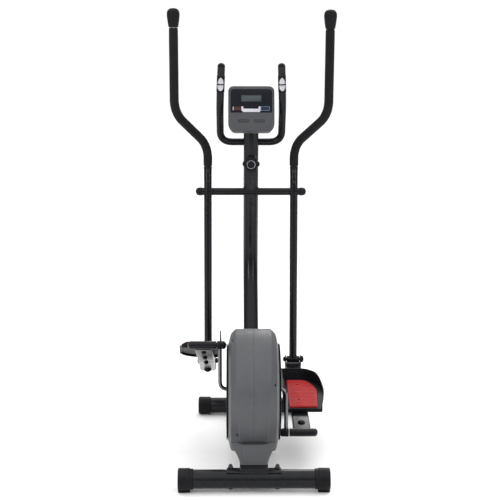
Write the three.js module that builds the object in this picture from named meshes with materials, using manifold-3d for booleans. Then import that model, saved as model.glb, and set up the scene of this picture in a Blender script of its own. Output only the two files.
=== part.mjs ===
// Elliptical trainer with a rear drive: millimetres, +Z up, +Y towards the console, +X to the user's right.
// The origin is on the floor, under the middle of the machine.
import * as THREE from "three";
import { mergeVertices } from "three/addons/utils/BufferGeometryUtils.js";
import Module from "manifold-3d";

const wasm = await Module();
wasm.setup();

// ---------------------------------------------------------------- driving dimensions
const GAP = 0.3; // between pieces that touch
const at = (y, z) => new THREE.Vector2(y, z); // a place in the machine's side view

const REAR_AXIS = at(-457, 42); // rear stabilizer
const FRONT_AXIS = at(REAR_AXIS.x + 827, 34); // front stabilizer
const STABILIZER_RADIUS = 30;
const STABILIZER_WALL = 2.5;
const REAR_HALF_LENGTH = 240;
const FRONT_HALF_LENGTH = 204;
const CAP_RADIUS = 35;
const FRONT_CAP_RADIUS = 34;
const BOLT_SPREAD = 74; // stabilizer bolts, each side of the middle

const CRANK_AXIS = at(REAR_AXIS.x + 216, 273);
const CRANK_RADIUS = 150;
const CRANK_ROD = 6.5;
const CRANK_SIDE = 110; // middle of each crank arm from the middle plane
const CRANK_END = 119.5; // outer face of each crank end

const ARM_PIVOT = at(REAR_AXIS.x + 860, 872);
const ARM_SIDE = 165; // middle of each arm and pedal bar from the middle plane
const ARM_LENGTH = 654; // pivot to lower joint
const ARM_TUBE = 15;
const BAR_LENGTH = 620; // crank pin to lower joint
const BAR_WIDTH = 58;
const BAR_HEIGHT = 24;

const HOUSING_HALF_WIDTH = 85;
const HOUSING_WALL = 3;
const DRUM_CENTRE = at(CRANK_AXIS.x, 265.5); // the drum sits a little lower than the crank
const DRUM_RADIUS = 207.5;
const SIDE_COVER_RADIUS = 160;
const FLYWHEEL_AXIS = at(REAR_AXIS.x + 455, 235);
const LOBE_RADIUS = 148; // housing round the flywheel
const FLYWHEEL_RADIUS = 110;
const PULLEY_RADIUS = 120;
const SMALL_PULLEY_RADIUS = 22;

const SPINE_LOW = 78;
const SPINE_HIGH = 118;
const SPINE_WIDTH = 50;

const POST_RADIUS = 29;
const POST_FOOT = at(REAR_AXIS.x + 600, 100);
const POST_ELBOW = at(REAR_AXIS.x + 940, 575);
const POST_TOP = at(REAR_AXIS.x + 818, 1141);
const POST_SPLIT = 0.32; // share of the foot to elbow run where the upper post plugs into the stub

const CONSOLE_PLACE = at(REAR_AXIS.x + 783, 1180);
const CONSOLE_TILT = THREE.MathUtils.degToRad(-20);
const CONSOLE_HALF_WIDTH = 86;
const CONSOLE_TOP = 92; // heights on the console's face, from its centre
const CONSOLE_SHOULDER = -63;
const CONSOLE_BOTTOM = -86;

const PULSE_RADIUS = 14;
const PULSE_SIDE = 117; // at the knee
const PULSE_TOP_SIDE = 110.5;

// ---------------------------------------------------------------- materials
const finish = (color, roughness, metalness) => new THREE.MeshStandardMaterial({ color, roughness, metalness });
const paint = () => finish(0x24252a, 0.42, 0.35);
const blackPlastic = () => finish(0x1d1e20, 0.5, 0);
const greyPlastic = () => finish(0x66686c, 0.45, 0);
const foam = () => finish(0x222325, 0.9, 0);
const chrome = () => finish(0xcfd1d4, 0.15, 1);
const zinc = () => finish(0x9a9ca0, 0.35, 0.9);
const castIron = () => finish(0x4a4b4e, 0.6, 0.8);

// ---------------------------------------------------------------- shape helpers
const trainer = new THREE.Group();

function addPart(name, geometry, material, parent = trainer) {
  const mesh = new THREE.Mesh(geometry, material);
  mesh.name = name;
  parent.add(mesh);
  return mesh;
}

// A group at a place in the side view, tilted about the X axis.
function addGroup(place, tilt, parent = trainer) {
  const group = new THREE.Group();
  group.position.set(0, place.x, place.y);
  group.rotation.x = tilt;
  parent.add(group);
  return group;
}

function solid(geometry) {
  const bare = geometry.index ? geometry.toNonIndexed() : geometry.clone();
  bare.deleteAttribute("normal");
  bare.deleteAttribute("uv");
  const merged = mergeVertices(bare, 1e-3);
  return new wasm.Manifold(
    new wasm.Mesh({
      numProp: 3,
      vertProperties: merged.attributes.position.array,
      triVerts: new Uint32Array(merged.index.array),
    }),
  );
}

function geometryOf(body) {
  const mesh = body.getMesh();
  const geometry = new THREE.BufferGeometry();
  geometry.setAttribute("position", new THREE.BufferAttribute(mesh.vertProperties, 3));
  geometry.setIndex(new THREE.BufferAttribute(mesh.triVerts, 1));
  const flat = geometry.toNonIndexed();
  flat.computeVertexNormals();
  return flat;
}

const join = (first, ...others) => geometryOf(others.reduce((sum, next) => sum.add(solid(next)), solid(first)));
const cut = (first, ...tools) => geometryOf(tools.reduce((left, tool) => left.subtract(solid(tool)), solid(first)));
const common = (first, second) => geometryOf(solid(first).intersect(solid(second)));

const box = (width, depth, height, x, y, z) => new THREE.BoxGeometry(width, depth, height).translate(x, y, z);

// A box given by its lowest and highest corners.
function boxBetween(low, high) {
  const size = new THREE.Vector3().subVectors(high, low);
  const middle = new THREE.Vector3().addVectors(low, high).multiplyScalar(0.5);
  return box(size.x, size.y, size.z, middle.x, middle.y, middle.z);
}

// A turned piece about the X axis: the profile is a list of [x, radius], from the lowest x to the highest.
function turned(profile, segments = 18) {
  const points = profile.map(([x, radius]) => new THREE.Vector2(radius, x));
  return new THREE.LatheGeometry(points, segments).rotateZ(-Math.PI / 2);
}

const rod = (radius, from, to, segments = 18) =>
  turned(
    [
      [from, 0],
      [from, radius],
      [to, radius],
      [to, 0],
    ],
    segments,
  );

const pipe = (outer, inner, from, to, segments = 18) =>
  turned(
    [
      [from, inner],
      [from, outer],
      [to, outer],
      [to, inner],
      [from, inner],
    ],
    segments,
  );

const placed = (geometry, place) => geometry.translate(0, place.x, place.y);

// An outline in the side view, extruded along X between two planes.
function acrossX(shape, from, to, bevel = {}) {
  const thick = bevel.bevelThickness ?? 0;
  const geometry = new THREE.ExtrudeGeometry(shape, {
    depth: to - from - 2 * thick,
    bevelEnabled: thick > 0,
    curveSegments: 10,
    ...bevel,
  });
  const sideView = new THREE.Matrix4().makeBasis(
    new THREE.Vector3(0, 1, 0),
    new THREE.Vector3(0, 0, 1),
    new THREE.Vector3(1, 0, 0),
  );
  return geometry.applyMatrix4(sideView).translate(from + thick, 0, 0);
}

// An outline in the front view, extruded along Y between two planes.
function acrossY(shape, from, to, bevel = {}) {
  const thick = bevel.bevelThickness ?? 0;
  const geometry = new THREE.ExtrudeGeometry(shape, {
    depth: to - from - 2 * thick,
    bevelEnabled: thick > 0,
    curveSegments: 6,
    ...bevel,
  });
  return geometry.rotateX(Math.PI / 2).translate(0, to - thick, 0);
}

function ring(radius, sides) {
  const points = [];
  for (let i = 0; i < sides; i++) {
    const angle = (2 * Math.PI * i) / sides;
    points.push(new THREE.Vector2(radius * Math.cos(angle), radius * Math.sin(angle)));
  }
  return points;
}

// A round tube along a path. An inner radius of 0 makes a solid bar.
function tubeAlong(path, outer, inner, sides, steps) {
  const shape = new THREE.Shape(ring(outer, sides));
  if (inner > 0) shape.holes.push(new THREE.Path(ring(inner, Math.max(8, sides / 2)).reverse()));
  return new THREE.ExtrudeGeometry(shape, { steps, extrudePath: path });
}

// Straight runs between corners, each corner rounded from `reach` before it to `reach` after it.
function rounded(corners, reach) {
  const path = new THREE.CurvePath();
  let start = corners[0];
  for (let i = 1; i < corners.length - 1; i++) {
    const corner = corners[i];
    const before = new THREE.Vector3().subVectors(corners[i - 1], corner).setLength(reach).add(corner);
    const after = new THREE.Vector3().subVectors(corners[i + 1], corner).setLength(reach).add(corner);
    path.add(new THREE.LineCurve3(start, before));
    path.add(new THREE.QuadraticBezierCurve3(before, corner, after));
    start = after;
  }
  path.add(new THREE.LineCurve3(start, corners[corners.length - 1]));
  return path;
}

// The stretch of a path between two shares of its length.
class Stretch extends THREE.Curve {
  constructor(path, from, to) {
    super();
    this.path = path;
    this.from = from;
    this.to = to;
  }

  getPoint(t, target = new THREE.Vector3()) {
    return this.path.getPointAt(this.from + (this.to - this.from) * t, target);
  }
}

// The loop round two circles, as a belt runs round two pulleys.
function loopShape(placeA, radiusA, placeB, radiusB) {
  const between = new THREE.Vector2().subVectors(placeB, placeA);
  const base = between.angle();
  const spread = Math.acos((radiusA - radiusB) / between.length());
  const shape = new THREE.Shape();
  shape.absarc(placeA.x, placeA.y, radiusA, base + spread, base - spread + 2 * Math.PI, false);
  shape.absarc(placeB.x, placeB.y, radiusB, base - spread + 2 * Math.PI, base + spread + 2 * Math.PI, false);
  return shape;
}

// A closed outline from corners [x, y, reach], each rounded from `reach` before it to `reach` after it.
function cornered(corners) {
  const shape = new THREE.Shape();
  const corner = (k) => new THREE.Vector2(...corners.at(k % corners.length));
  corners.forEach(([x, y, reach], k) => {
    const before = corner(k - 1).sub(corner(k)).setLength(reach).add(corner(k));
    const after = corner(k + 1).sub(corner(k)).setLength(reach).add(corner(k));
    if (k === 0) shape.moveTo(before.x, before.y);
    else shape.lineTo(before.x, before.y);
    shape.quadraticCurveTo(x, y, after.x, after.y);
  });
  return shape;
}

function roundedRectangle(width, height, radius) {
  const shape = new THREE.Shape();
  const x = width / 2 - radius;
  const y = height / 2 - radius;
  shape.absarc(x, y, radius, 0, Math.PI / 2, false);
  shape.absarc(-x, y, radius, Math.PI / 2, Math.PI, false);
  shape.absarc(-x, -y, radius, Math.PI, 1.5 * Math.PI, false);
  shape.absarc(x, -y, radius, 1.5 * Math.PI, 2 * Math.PI, false);
  return shape;
}

// A curved plate that lies round a tube along X, between two angles of the side view.
function saddle(place, inner, outer, fromAngle, toAngle, halfWidth) {
  const shape = new THREE.Shape();
  shape.absarc(place.x, place.y, outer, fromAngle, toAngle, false);
  shape.absarc(place.x, place.y, inner, toAngle, fromAngle, true);
  return acrossX(shape, -halfWidth, halfWidth);
}

// A solid through level rings of the same count, drawn anticlockwise from above, with a flat cap at each end.
function lofted(rings) {
  const count = rings[0].length;
  const index = [];
  for (let k = 0; k + count < rings.flat().length; k++) {
    const next = (k + 1) % count === 0 ? k + 1 - count : k + 1;
    index.push(k, next, next + count, k, next + count, k + count);
  }
  const top = (rings.length - 1) * count;
  for (let i = 1; i + 1 < count; i++) {
    index.push(0, i + 1, i);
    index.push(top, top + i, top + i + 1);
  }
  const geometry = new THREE.BufferGeometry().setFromPoints(rings.flat());
  geometry.setIndex(index);
  return geometry;
}

const mirrorX = (geometry) => {
  const flipped = geometry.index ? geometry.toNonIndexed() : geometry.clone();
  flipped.scale(-1, 1, 1);
  const position = flipped.attributes.position;
  for (let i = 0; i < position.count; i += 3) {
    const x = position.getX(i);
    const y = position.getY(i);
    const z = position.getZ(i);
    position.setXYZ(i, position.getX(i + 1), position.getY(i + 1), position.getZ(i + 1));
    position.setXYZ(i + 1, x, y, z);
  }
  flipped.computeVertexNormals();
  return flipped;
};

const SIDES = [
  { name: "left", sign: -1 },
  { name: "right", sign: 1 },
];
// Every sided piece is shaped for the right and mirrored for the left.
const sided = (geometry, side) => (side.sign > 0 ? geometry : mirrorX(geometry));

// ---------------------------------------------------------------- frame
const UP = Math.PI / 2;
const SADDLE_ARC = THREE.MathUtils.degToRad(36);
const SADDLE_OUTER = STABILIZER_RADIUS + 5;
const REAR_SADDLE_HALF = 86;
const REAR_NECK_WIDTH = 90;
const REAR_NECK_TOP = 80;
const SPINE_START = 29; // in front of the rear stabilizer, behind the tail cover's rear face
const FORK_SIDE = 60;
const FORK_PLATE = 5;

const sideDirection = (from, to) => new THREE.Vector2().subVectors(to, from).normalize();
const sidePoint = (place, x = 0) => new THREE.Vector3(x, place.x, place.y);
const postSplit = POST_FOOT.clone().lerp(POST_ELBOW, POST_SPLIT);

function boltHole(axis, x) {
  return new THREE.CylinderGeometry(4.8, 4.8, 120, 8).rotateX(UP).translate(x, axis.x, axis.y);
}

function buildFrame() {
  const halfSpine = SPINE_WIDTH / 2;
  const rearClear = placed(rod(STABILIZER_RADIUS + 0.6, -300, 300, 32), REAR_AXIS);
  const frontClear = placed(rod(STABILIZER_RADIUS + 0.6, -300, 300, 32), FRONT_AXIS);
  const spine = boxBetween(
    new THREE.Vector3(-halfSpine, REAR_AXIS.x + SPINE_START, SPINE_LOW),
    new THREE.Vector3(halfSpine, FRONT_AXIS.x + 26, SPINE_HIGH),
  );
  const rearNeck = boxBetween(
    new THREE.Vector3(-REAR_NECK_WIDTH / 2, REAR_AXIS.x - 20, REAR_AXIS.y),
    new THREE.Vector3(REAR_NECK_WIDTH / 2, REAR_AXIS.x + 52, REAR_NECK_TOP),
  );
  const frontBlock = boxBetween(
    new THREE.Vector3(-halfSpine, FRONT_AXIS.x - 26, FRONT_AXIS.y + 18),
    new THREE.Vector3(halfSpine, FRONT_AXIS.x + 26, SPINE_LOW + 4),
  );
  const rearSaddle = saddle(
    REAR_AXIS,
    STABILIZER_RADIUS + GAP,
    SADDLE_OUTER,
    UP - SADDLE_ARC,
    UP + SADDLE_ARC,
    REAR_SADDLE_HALF,
  );
  const frontSaddle = saddle(
    FRONT_AXIS,
    STABILIZER_RADIUS + GAP,
    SADDLE_OUTER,
    UP - SADDLE_ARC,
    UP + SADDLE_ARC,
    REAR_SADDLE_HALF,
  );
  const upright = boxBetween(
    new THREE.Vector3(-20, CRANK_AXIS.x - 20, SPINE_HIGH - 10),
    new THREE.Vector3(20, CRANK_AXIS.x + 20, CRANK_AXIS.y - 8),
  );
  const crankShell = placed(rod(22, -30, 30), CRANK_AXIS);
  const forkBase = box(2 * (FORK_SIDE + FORK_PLATE), 44, 6, 0, FLYWHEEL_AXIS.x, SPINE_HIGH - 3);
  const forkPlates = [-1, 1].map((sign) =>
    box(
      FORK_PLATE,
      44,
      FLYWHEEL_AXIS.y + 20 - (SPINE_HIGH - 6),
      sign * (FORK_SIDE + FORK_PLATE / 2),
      FLYWHEEL_AXIS.x,
      (FLYWHEEL_AXIS.y + 20 + SPINE_HIGH - 6) / 2,
    ),
  );
  const stubEnd = POST_FOOT.clone().lerp(POST_ELBOW, POST_SPLIT + 0.11);
  const stubRun = new THREE.LineCurve3(sidePoint(POST_FOOT), sidePoint(stubEnd));
  const stub = tubeAlong(stubRun, POST_RADIUS + 5, 0, 18, 1);
  const stubBoreRun = new THREE.LineCurve3(
    sidePoint(postSplit.clone().addScaledVector(sideDirection(POST_ELBOW, POST_FOOT), 1)),
    sidePoint(POST_ELBOW),
  );
  const stubBore = tubeAlong(stubBoreRun, POST_RADIUS + 1, 0, 18, 1);
  const crankBore = placed(rod(CRANK_ROD + 1, -90, 90, 12), CRANK_AXIS);
  const axleBore = placed(rod(8 + 2 * GAP, -90, 90, 12), FLYWHEEL_AXIS);
  const welded = join(
    spine,
    rearNeck,
    frontBlock,
    rearSaddle,
    frontSaddle,
    upright,
    crankShell,
    forkBase,
    ...forkPlates,
    stub,
  );
  const bolts = [-1, 1].map((sign) => boltHole(REAR_AXIS, sign * BOLT_SPREAD));
  const frontBolts = [-1, 1].map((sign) => boltHole(FRONT_AXIS, sign * BOLT_SPREAD));
  addPart(
    "main_frame",
    cut(welded, rearClear, frontClear, crankBore, axleBore, stubBore, ...bolts, ...frontBolts),
    paint(),
  );
}

function buildStabilizer(name, axis, halfLength) {
  const tube = pipe(STABILIZER_RADIUS, STABILIZER_RADIUS - STABILIZER_WALL, -halfLength, halfLength, 24);
  const holes = [-1, 1].map((sign) => boltHole(axis, sign * BOLT_SPREAD));
  addPart(name, cut(placed(tube, axis), ...holes), paint());
}

// The rear caps are round with a flat foot that stands on the floor.
function rearCapOutline() {
  const footHalf = 10;
  const turn = Math.asin(footHalf / CAP_RADIUS);
  const shape = new THREE.Shape();
  shape.absarc(REAR_AXIS.x, REAR_AXIS.y, CAP_RADIUS, -UP + turn, 1.5 * Math.PI - turn, false);
  shape.lineTo(REAR_AXIS.x - footHalf, 0);
  shape.lineTo(REAR_AXIS.x + footHalf, 0);
  return shape;
}

function buildFeet(side) {
  const rearInner = REAR_HALF_LENGTH - 38;
  const body = acrossX(rearCapOutline(), rearInner, REAR_HALF_LENGTH, {
    bevelThickness: 3,
    bevelSize: 3,
    bevelOffset: -3,
    bevelSegments: 2,
  });
  const collar = placed(rod(STABILIZER_RADIUS + 2.5, rearInner - 10, rearInner + 4, 32), REAR_AXIS);
  const capGeometry = join(body, collar);
  addPart("rear_foot_cap_" + side.name, sided(capGeometry, side), blackPlastic());
  const frontInner = FRONT_HALF_LENGTH - 48;
  const frontCap = turned(
    [
      [frontInner, 0],
      [frontInner, FRONT_CAP_RADIUS - 2],
      [frontInner + 2, FRONT_CAP_RADIUS],
      [FRONT_HALF_LENGTH - 4, FRONT_CAP_RADIUS],
      [FRONT_HALF_LENGTH, FRONT_CAP_RADIUS - 5],
      [FRONT_HALF_LENGTH, 0],
    ],
    24,
  );
  addPart("front_foot_cap_" + side.name, sided(placed(frontCap, FRONT_AXIS), side), blackPlastic());
}

// A carriage bolt from below with its domed nut on the saddle.
function buildStabilizerBolt(name, axis, side) {
  const low = -STABILIZER_RADIUS - 5;
  const top = SADDLE_OUTER + GAP;
  const profile = [
    [low, 0],
    [low + 1.5, 7],
    [low + 4.6, 8.5],
    [low + 4.6, 4],
    [top, 4],
    [top, 10],
    [top + 2, 10],
    [top + 2, 7],
    [top + 9, 7],
    [top + 13, 5],
    [top + 15, 0],
  ];
  const bolt = turned(profile, 10).rotateY(-UP);
  addPart(name, bolt.translate(side.sign * BOLT_SPREAD, axis.x, axis.y), zinc());
}

// ---------------------------------------------------------------- housing and drive
const SPLIT_GAP = 0.15;
const SHELL_BEVEL = { bevelThickness: 20, bevelSize: 18, bevelOffset: -18, bevelSegments: 2, curveSegments: 13 };

// The housing's outer form, drawn smaller by an inset all round.
function housingForm(inset, bevelSegments) {
  const outline = loopShape(DRUM_CENTRE, DRUM_RADIUS - inset, FLYWHEEL_AXIS, LOBE_RADIUS - inset);
  const half = HOUSING_HALF_WIDTH - inset;
  return acrossX(outline, -half, half, { ...SHELL_BEVEL, bevelSegments });
}

function housingBody() {
  const outer = housingForm(0, 2);
  const inner = housingForm(HOUSING_WALL, 1);
  const spineSlot = boxBetween(
    new THREE.Vector3(-SPINE_WIDTH / 2 - 1, REAR_AXIS.x - 60, SPINE_LOW - 1),
    new THREE.Vector3(SPINE_WIDTH / 2 + 1, FRONT_AXIS.x, SPINE_HIGH + 1),
  );
  const crankHole = placed(rod(24, -120, 120, 20), CRANK_AXIS);
  return cut(outer, inner, spineSlot, crankHole);
}

function buildHousing() {
  const body = housingBody();
  for (const side of SIDES) {
    const half = box(200, 2000, 1200, side.sign * (100 + SPLIT_GAP), 0, 400);
    addPart("housing_" + side.name, common(body, half), greyPlastic());
    const disc = placed(rod(SIDE_COVER_RADIUS, HOUSING_HALF_WIDTH + GAP, HOUSING_HALF_WIDTH + 3, 32), DRUM_CENTRE);
    const crankHole = placed(rod(CRANK_ROD + 9, 0, 120), CRANK_AXIS);
    addPart("crank_cover_" + side.name, sided(cut(disc, crankHole), side), blackPlastic());
  }
}

// The low cover that closes the drum down to the rear stabilizer, hollow over the neck and the spine:
// a flat rear face between two chamfers that flare out to the drum's sides.
function buildTailCover() {
  const bottom = REAR_NECK_TOP + 1;
  const top = 143;
  const back = REAR_AXIS.x + 150;
  const levels = 8;
  const rings = [];
  for (let k = 0; k <= levels; k++) {
    const rise = k / levels;
    const flare = rise * rise * (3 - 2 * rise);
    const z = bottom + (top - bottom) * rise;
    const faceY = REAR_AXIS.x + 16 + 14 * rise;
    const sideY = faceY + 12 + 34 * flare;
    const face = 38 - 8 * rise;
    const side = 45.5 + 29 * flare;
    const corner = (x, y) => new THREE.Vector3(x, y, z);
    const right = [corner(face, faceY), corner(side, sideY), corner(side, back)];
    const left = [corner(-side, back), corner(-side, sideY), corner(-face, faceY)];
    rings.push([...right, ...left]);
  }
  const frameRoom = boxBetween(
    new THREE.Vector3(-SPINE_WIDTH / 2 - 12, REAR_AXIS.x + SPINE_START - 2, bottom - 20),
    new THREE.Vector3(SPINE_WIDTH / 2 + 12, REAR_AXIS.x + 200, SPINE_HIGH + 1),
  );
  addPart("tail_cover", cut(lofted(rings), housingForm(-GAP, 2), frameRoom), greyPlastic());
}

function buildCrank() {
  const bend = 26;
  const corners = [
    new THREE.Vector3(-CRANK_SIDE, 0, CRANK_RADIUS),
    new THREE.Vector3(-CRANK_SIDE, 0, 0),
    new THREE.Vector3(CRANK_SIDE, 0, 0),
    new THREE.Vector3(CRANK_SIDE, 0, -CRANK_RADIUS),
  ];
  const bar = tubeAlong(rounded(corners, bend), CRANK_ROD, 0, 10, 34);
  const eye = (sign) => {
    const boss = turned(
      [
        [103.3, 0],
        [103.3, 12],
        [105, 14],
        [CRANK_END - 2, 14],
        [CRANK_END, 12],
        [CRANK_END, 0],
      ],
      16,
    );
    const shaped = sign > 0 ? boss : mirrorX(boss);
    return shaped.translate(0, 0, -sign * CRANK_RADIUS);
  };
  addPart("crank", placed(join(bar, eye(-1), eye(1)), CRANK_AXIS), chrome());
  const pulley = turned(
    [
      [34, CRANK_ROD + GAP],
      [34, 24],
      [37, 26],
      [37, PULLEY_RADIUS - 12],
      [34, PULLEY_RADIUS - 10],
      [34, PULLEY_RADIUS],
      [48, PULLEY_RADIUS],
      [48, PULLEY_RADIUS - 10],
      [42, PULLEY_RADIUS - 12],
      [42, 26],
      [48, 24],
      [48, CRANK_ROD + GAP],
      [34, CRANK_ROD + GAP],
    ],
    24,
  );
  addPart("drive_pulley", placed(pulley, CRANK_AXIS), blackPlastic());
  for (const side of SIDES) {
    const dome = turned(
      [
        [88.8, 0],
        [89.8, 5.5],
        [92.6, 10],
        [97, 13],
        [103, 14],
        [103, 0],
      ],
      16,
    );
    const height = -side.sign * CRANK_RADIUS;
    addPart(
      "crank_nut_cap_" + side.name,
      placed(sided(dome, side).translate(0, 0, height), CRANK_AXIS),
      blackPlastic(),
    );
    const cup = pipe(22, CRANK_ROD + 0.5, 30 + GAP, 33.4);
    addPart("crank_bearing_" + side.name, placed(sided(cup, side), CRANK_AXIS), zinc());
  }
}

function buildFlywheel() {
  const wheel = turned(
    [
      [-50, 8 + GAP],
      [-50, 20],
      [-22, 20],
      [-22, FLYWHEEL_RADIUS - 26],
      [-28, FLYWHEEL_RADIUS - 22],
      [-28, FLYWHEEL_RADIUS],
      [6, FLYWHEEL_RADIUS],
      [6, FLYWHEEL_RADIUS - 22],
      [0, FLYWHEEL_RADIUS - 26],
      [0, 20],
      [34, 20],
      [34, SMALL_PULLEY_RADIUS],
      [50, SMALL_PULLEY_RADIUS],
      [50, 8 + GAP],
      [-50, 8 + GAP],
    ],
    24,
  );
  addPart("flywheel", placed(wheel, FLYWHEEL_AXIS), castIron());
  addPart("flywheel_axle", placed(rod(8, -70, 70, 12), FLYWHEEL_AXIS), zinc());
  const belt = loopShape(CRANK_AXIS, PULLEY_RADIUS + 4, FLYWHEEL_AXIS, SMALL_PULLEY_RADIUS + 4);
  const inside = loopShape(
    CRANK_AXIS,
    PULLEY_RADIUS + 1,
    FLYWHEEL_AXIS,
    SMALL_PULLEY_RADIUS + 1,
  );
  const outerLoop = acrossX(belt, 36, 46, { curveSegments: 10 });
  const innerLoop = acrossX(inside, 30, 52, { curveSegments: 10 });
  addPart("drive_belt", cut(outerLoop, innerLoop), finish(0x18181a, 0.8, 0));
  const near = FLYWHEEL_RADIUS + 3;
  const far = FLYWHEEL_RADIUS + 10;
  const shape = new THREE.Shape();
  const from = THREE.MathUtils.degToRad(120);
  const to = THREE.MathUtils.degToRad(190);
  shape.absarc(FLYWHEEL_AXIS.x, FLYWHEEL_AXIS.y, far, from, to, false);
  shape.lineTo(FLYWHEEL_AXIS.x - far, SPINE_HIGH + GAP);
  shape.lineTo(FLYWHEEL_AXIS.x - near, SPINE_HIGH + GAP);
  shape.absarc(FLYWHEEL_AXIS.x, FLYWHEEL_AXIS.y, near, to, from, true);
  addPart("magnet_bracket", acrossX(shape, -24, 2), zinc());
}

// ---------------------------------------------------------------- post and console
const consoleFrame = () =>
  new THREE.Matrix4()
    .makeTranslation(0, CONSOLE_PLACE.x, CONSOLE_PLACE.y)
    .multiply(new THREE.Matrix4().makeRotationX(CONSOLE_TILT));
const CONSOLE_BACK = 27; // depth of the rear shell behind the parting line

function buildPost() {
  const corners = [sidePoint(postSplit), sidePoint(POST_ELBOW), sidePoint(POST_TOP)];
  const path = rounded(corners, 125);
  const tube = tubeAlong(path, POST_RADIUS, POST_RADIUS - 3, 18, 17);
  const axleHole = placed(rod(15, -60, 60, 16), ARM_PIVOT);
  const consoleRoom = box(200, 200, 260, 0, CONSOLE_BACK + GAP - 100, 0).applyMatrix4(consoleFrame());
  const plate = box(84, 4, 120, 0, CONSOLE_BACK + GAP + 2, -16).applyMatrix4(consoleFrame());
  addPart("front_post", join(cut(tube, axleHole, consoleRoom), plate), paint());
}

function buildPivotAxle() {
  const axle = turned(
    [
      [-187, 0],
      [-187, 8],
      [-143, 8],
      [-143, 14.4],
      [143, 14.4],
      [143, 8],
      [187, 8],
      [187, 0],
    ],
    16,
  );
  addPart("pivot_axle", placed(axle, ARM_PIVOT), paint());
  for (const side of SIDES) {
    const cap = turned(
      [
        [187 + GAP, 0],
        [187 + GAP, 15.5],
        [199, 15.5],
        [207, 12],
        [211, 6],
        [212, 0],
      ],
      16,
    );
    addPart("pivot_cap_" + side.name, placed(sided(cap, side), ARM_PIVOT), blackPlastic());
  }
}

const PULSE_CROSSING = at(REAR_AXIS.x + 880, 1061);
const PULSE_KNEE = at(REAR_AXIS.x + 790, 1205);
const PULSE_END = at(REAR_AXIS.x + 752, 1355);

function buildPulseBar() {
  const half = [sidePoint(PULSE_CROSSING, PULSE_SIDE), sidePoint(PULSE_KNEE, PULSE_SIDE)];
  const corners = [
    sidePoint(PULSE_END, -PULSE_TOP_SIDE),
    sidePoint(PULSE_KNEE, -PULSE_SIDE),
    sidePoint(PULSE_CROSSING, -PULSE_SIDE),
    ...half,
    sidePoint(PULSE_END, PULSE_TOP_SIDE),
  ];
  const tube = tubeAlong(rounded(corners, 48), PULSE_RADIUS, PULSE_RADIUS - 2, 12, 30);
  addPart("pulse_handlebar", tube, paint());
  const knee = sidePoint(PULSE_KNEE, PULSE_SIDE);
  const end = sidePoint(PULSE_END, PULSE_TOP_SIDE);
  const upright = new THREE.Vector3().subVectors(end, knee).normalize();
  const turn = new THREE.Quaternion().setFromUnitVectors(new THREE.Vector3(0, 0, 1), upright);
  const centre = knee.clone().lerp(end, 0.5);
  // Each sensor plate is a piece of a sleeve, cut to a pointed or a rounded outline.
  const wrap = new THREE.Shape();
  wrap.absarc(0, 0, PULSE_RADIUS + GAP + 1.2, Math.PI, 2 * Math.PI, false);
  wrap.absarc(0, 0, PULSE_RADIUS + GAP, 2 * Math.PI, Math.PI, true);
  const sleeve = new THREE.ExtrudeGeometry(wrap, { depth: 60, bevelEnabled: false, curveSegments: 8 });
  sleeve.translate(0, 0, -30);
  const pointed = new THREE.Shape();
  pointed.moveTo(-12.5, 2.5);
  pointed.lineTo(12.5, 2.5);
  pointed.quadraticCurveTo(9, 18, 0, 27);
  pointed.quadraticCurveTo(-9, 18, -12.5, 2.5);
  const bowl = new THREE.Shape();
  bowl.moveTo(-12.5, -2.5);
  bowl.quadraticCurveTo(-11, -20, 0, -24);
  bowl.quadraticCurveTo(11, -20, 12.5, -2.5);
  for (const side of SIDES) {
    for (const [level, outline] of [
      ["upper", pointed],
      ["lower", bowl],
    ]) {
      const plate = common(sleeve, acrossY(outline, -20, 20)).applyQuaternion(turn);
      plate.translate(centre.x, centre.y, centre.z);
      addPart("pulse_sensor_" + level + "_" + side.name, sided(plate, side), chrome());
    }
  }
}

const KNOB_HEIGHT = 992;
const LOBES = 6;

function buildTensionKnob() {
  const rise = (KNOB_HEIGHT - POST_ELBOW.y) / (POST_TOP.y - POST_ELBOW.y);
  const place = POST_ELBOW.clone().lerp(POST_TOP, rise);
  const along = sideDirection(POST_ELBOW, POST_TOP);
  const group = addGroup(place, -Math.atan2(along.x, along.y));
  const face = -POST_RADIUS - GAP;
  const base = new THREE.CylinderGeometry(24, 27, 12, 20).translate(0, face - 1, 0);
  const postRoom = new THREE.CylinderGeometry(POST_RADIUS + GAP, POST_RADIUS + GAP, 90, 24).rotateX(UP);
  addPart("tension_base", cut(base, postRoom), blackPlastic(), group);
  const points = [];
  const count = LOBES * 5;
  for (let i = 0; i < count; i++) {
    const angle = (2 * Math.PI * i) / count;
    const radius = 29.5 + 3.2 * Math.cos(LOBES * angle);
    points.push(new THREE.Vector2(radius * Math.cos(angle), radius * Math.sin(angle)));
  }
  const star = acrossY(new THREE.Shape(points), face - 30, face - 7 - GAP, {
    bevelThickness: 3,
    bevelSize: 3,
    bevelOffset: -3,
    bevelSegments: 2,
  });
  const hub = new THREE.CylinderGeometry(13, 15, 8, 12).rotateX(Math.PI).translate(0, face - 31, 0);
  addPart("tension_knob", join(star, hub), blackPlastic(), group);
}

// The console's outline: round corners at the top, cut corners at the bottom.
function consoleOutline(inset) {
  const half = CONSOLE_HALF_WIDTH - inset;
  const foot = half - 16;
  return cornered([
    [half, CONSOLE_TOP - inset, 21],
    [-half, CONSOLE_TOP - inset, 21],
    [-half, CONSOLE_SHOULDER, 12],
    [-foot, CONSOLE_BOTTOM + inset, 10],
    [foot, CONSOLE_BOTTOM + inset, 10],
    [half, CONSOLE_SHOULDER, 12],
  ]);
}

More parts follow.
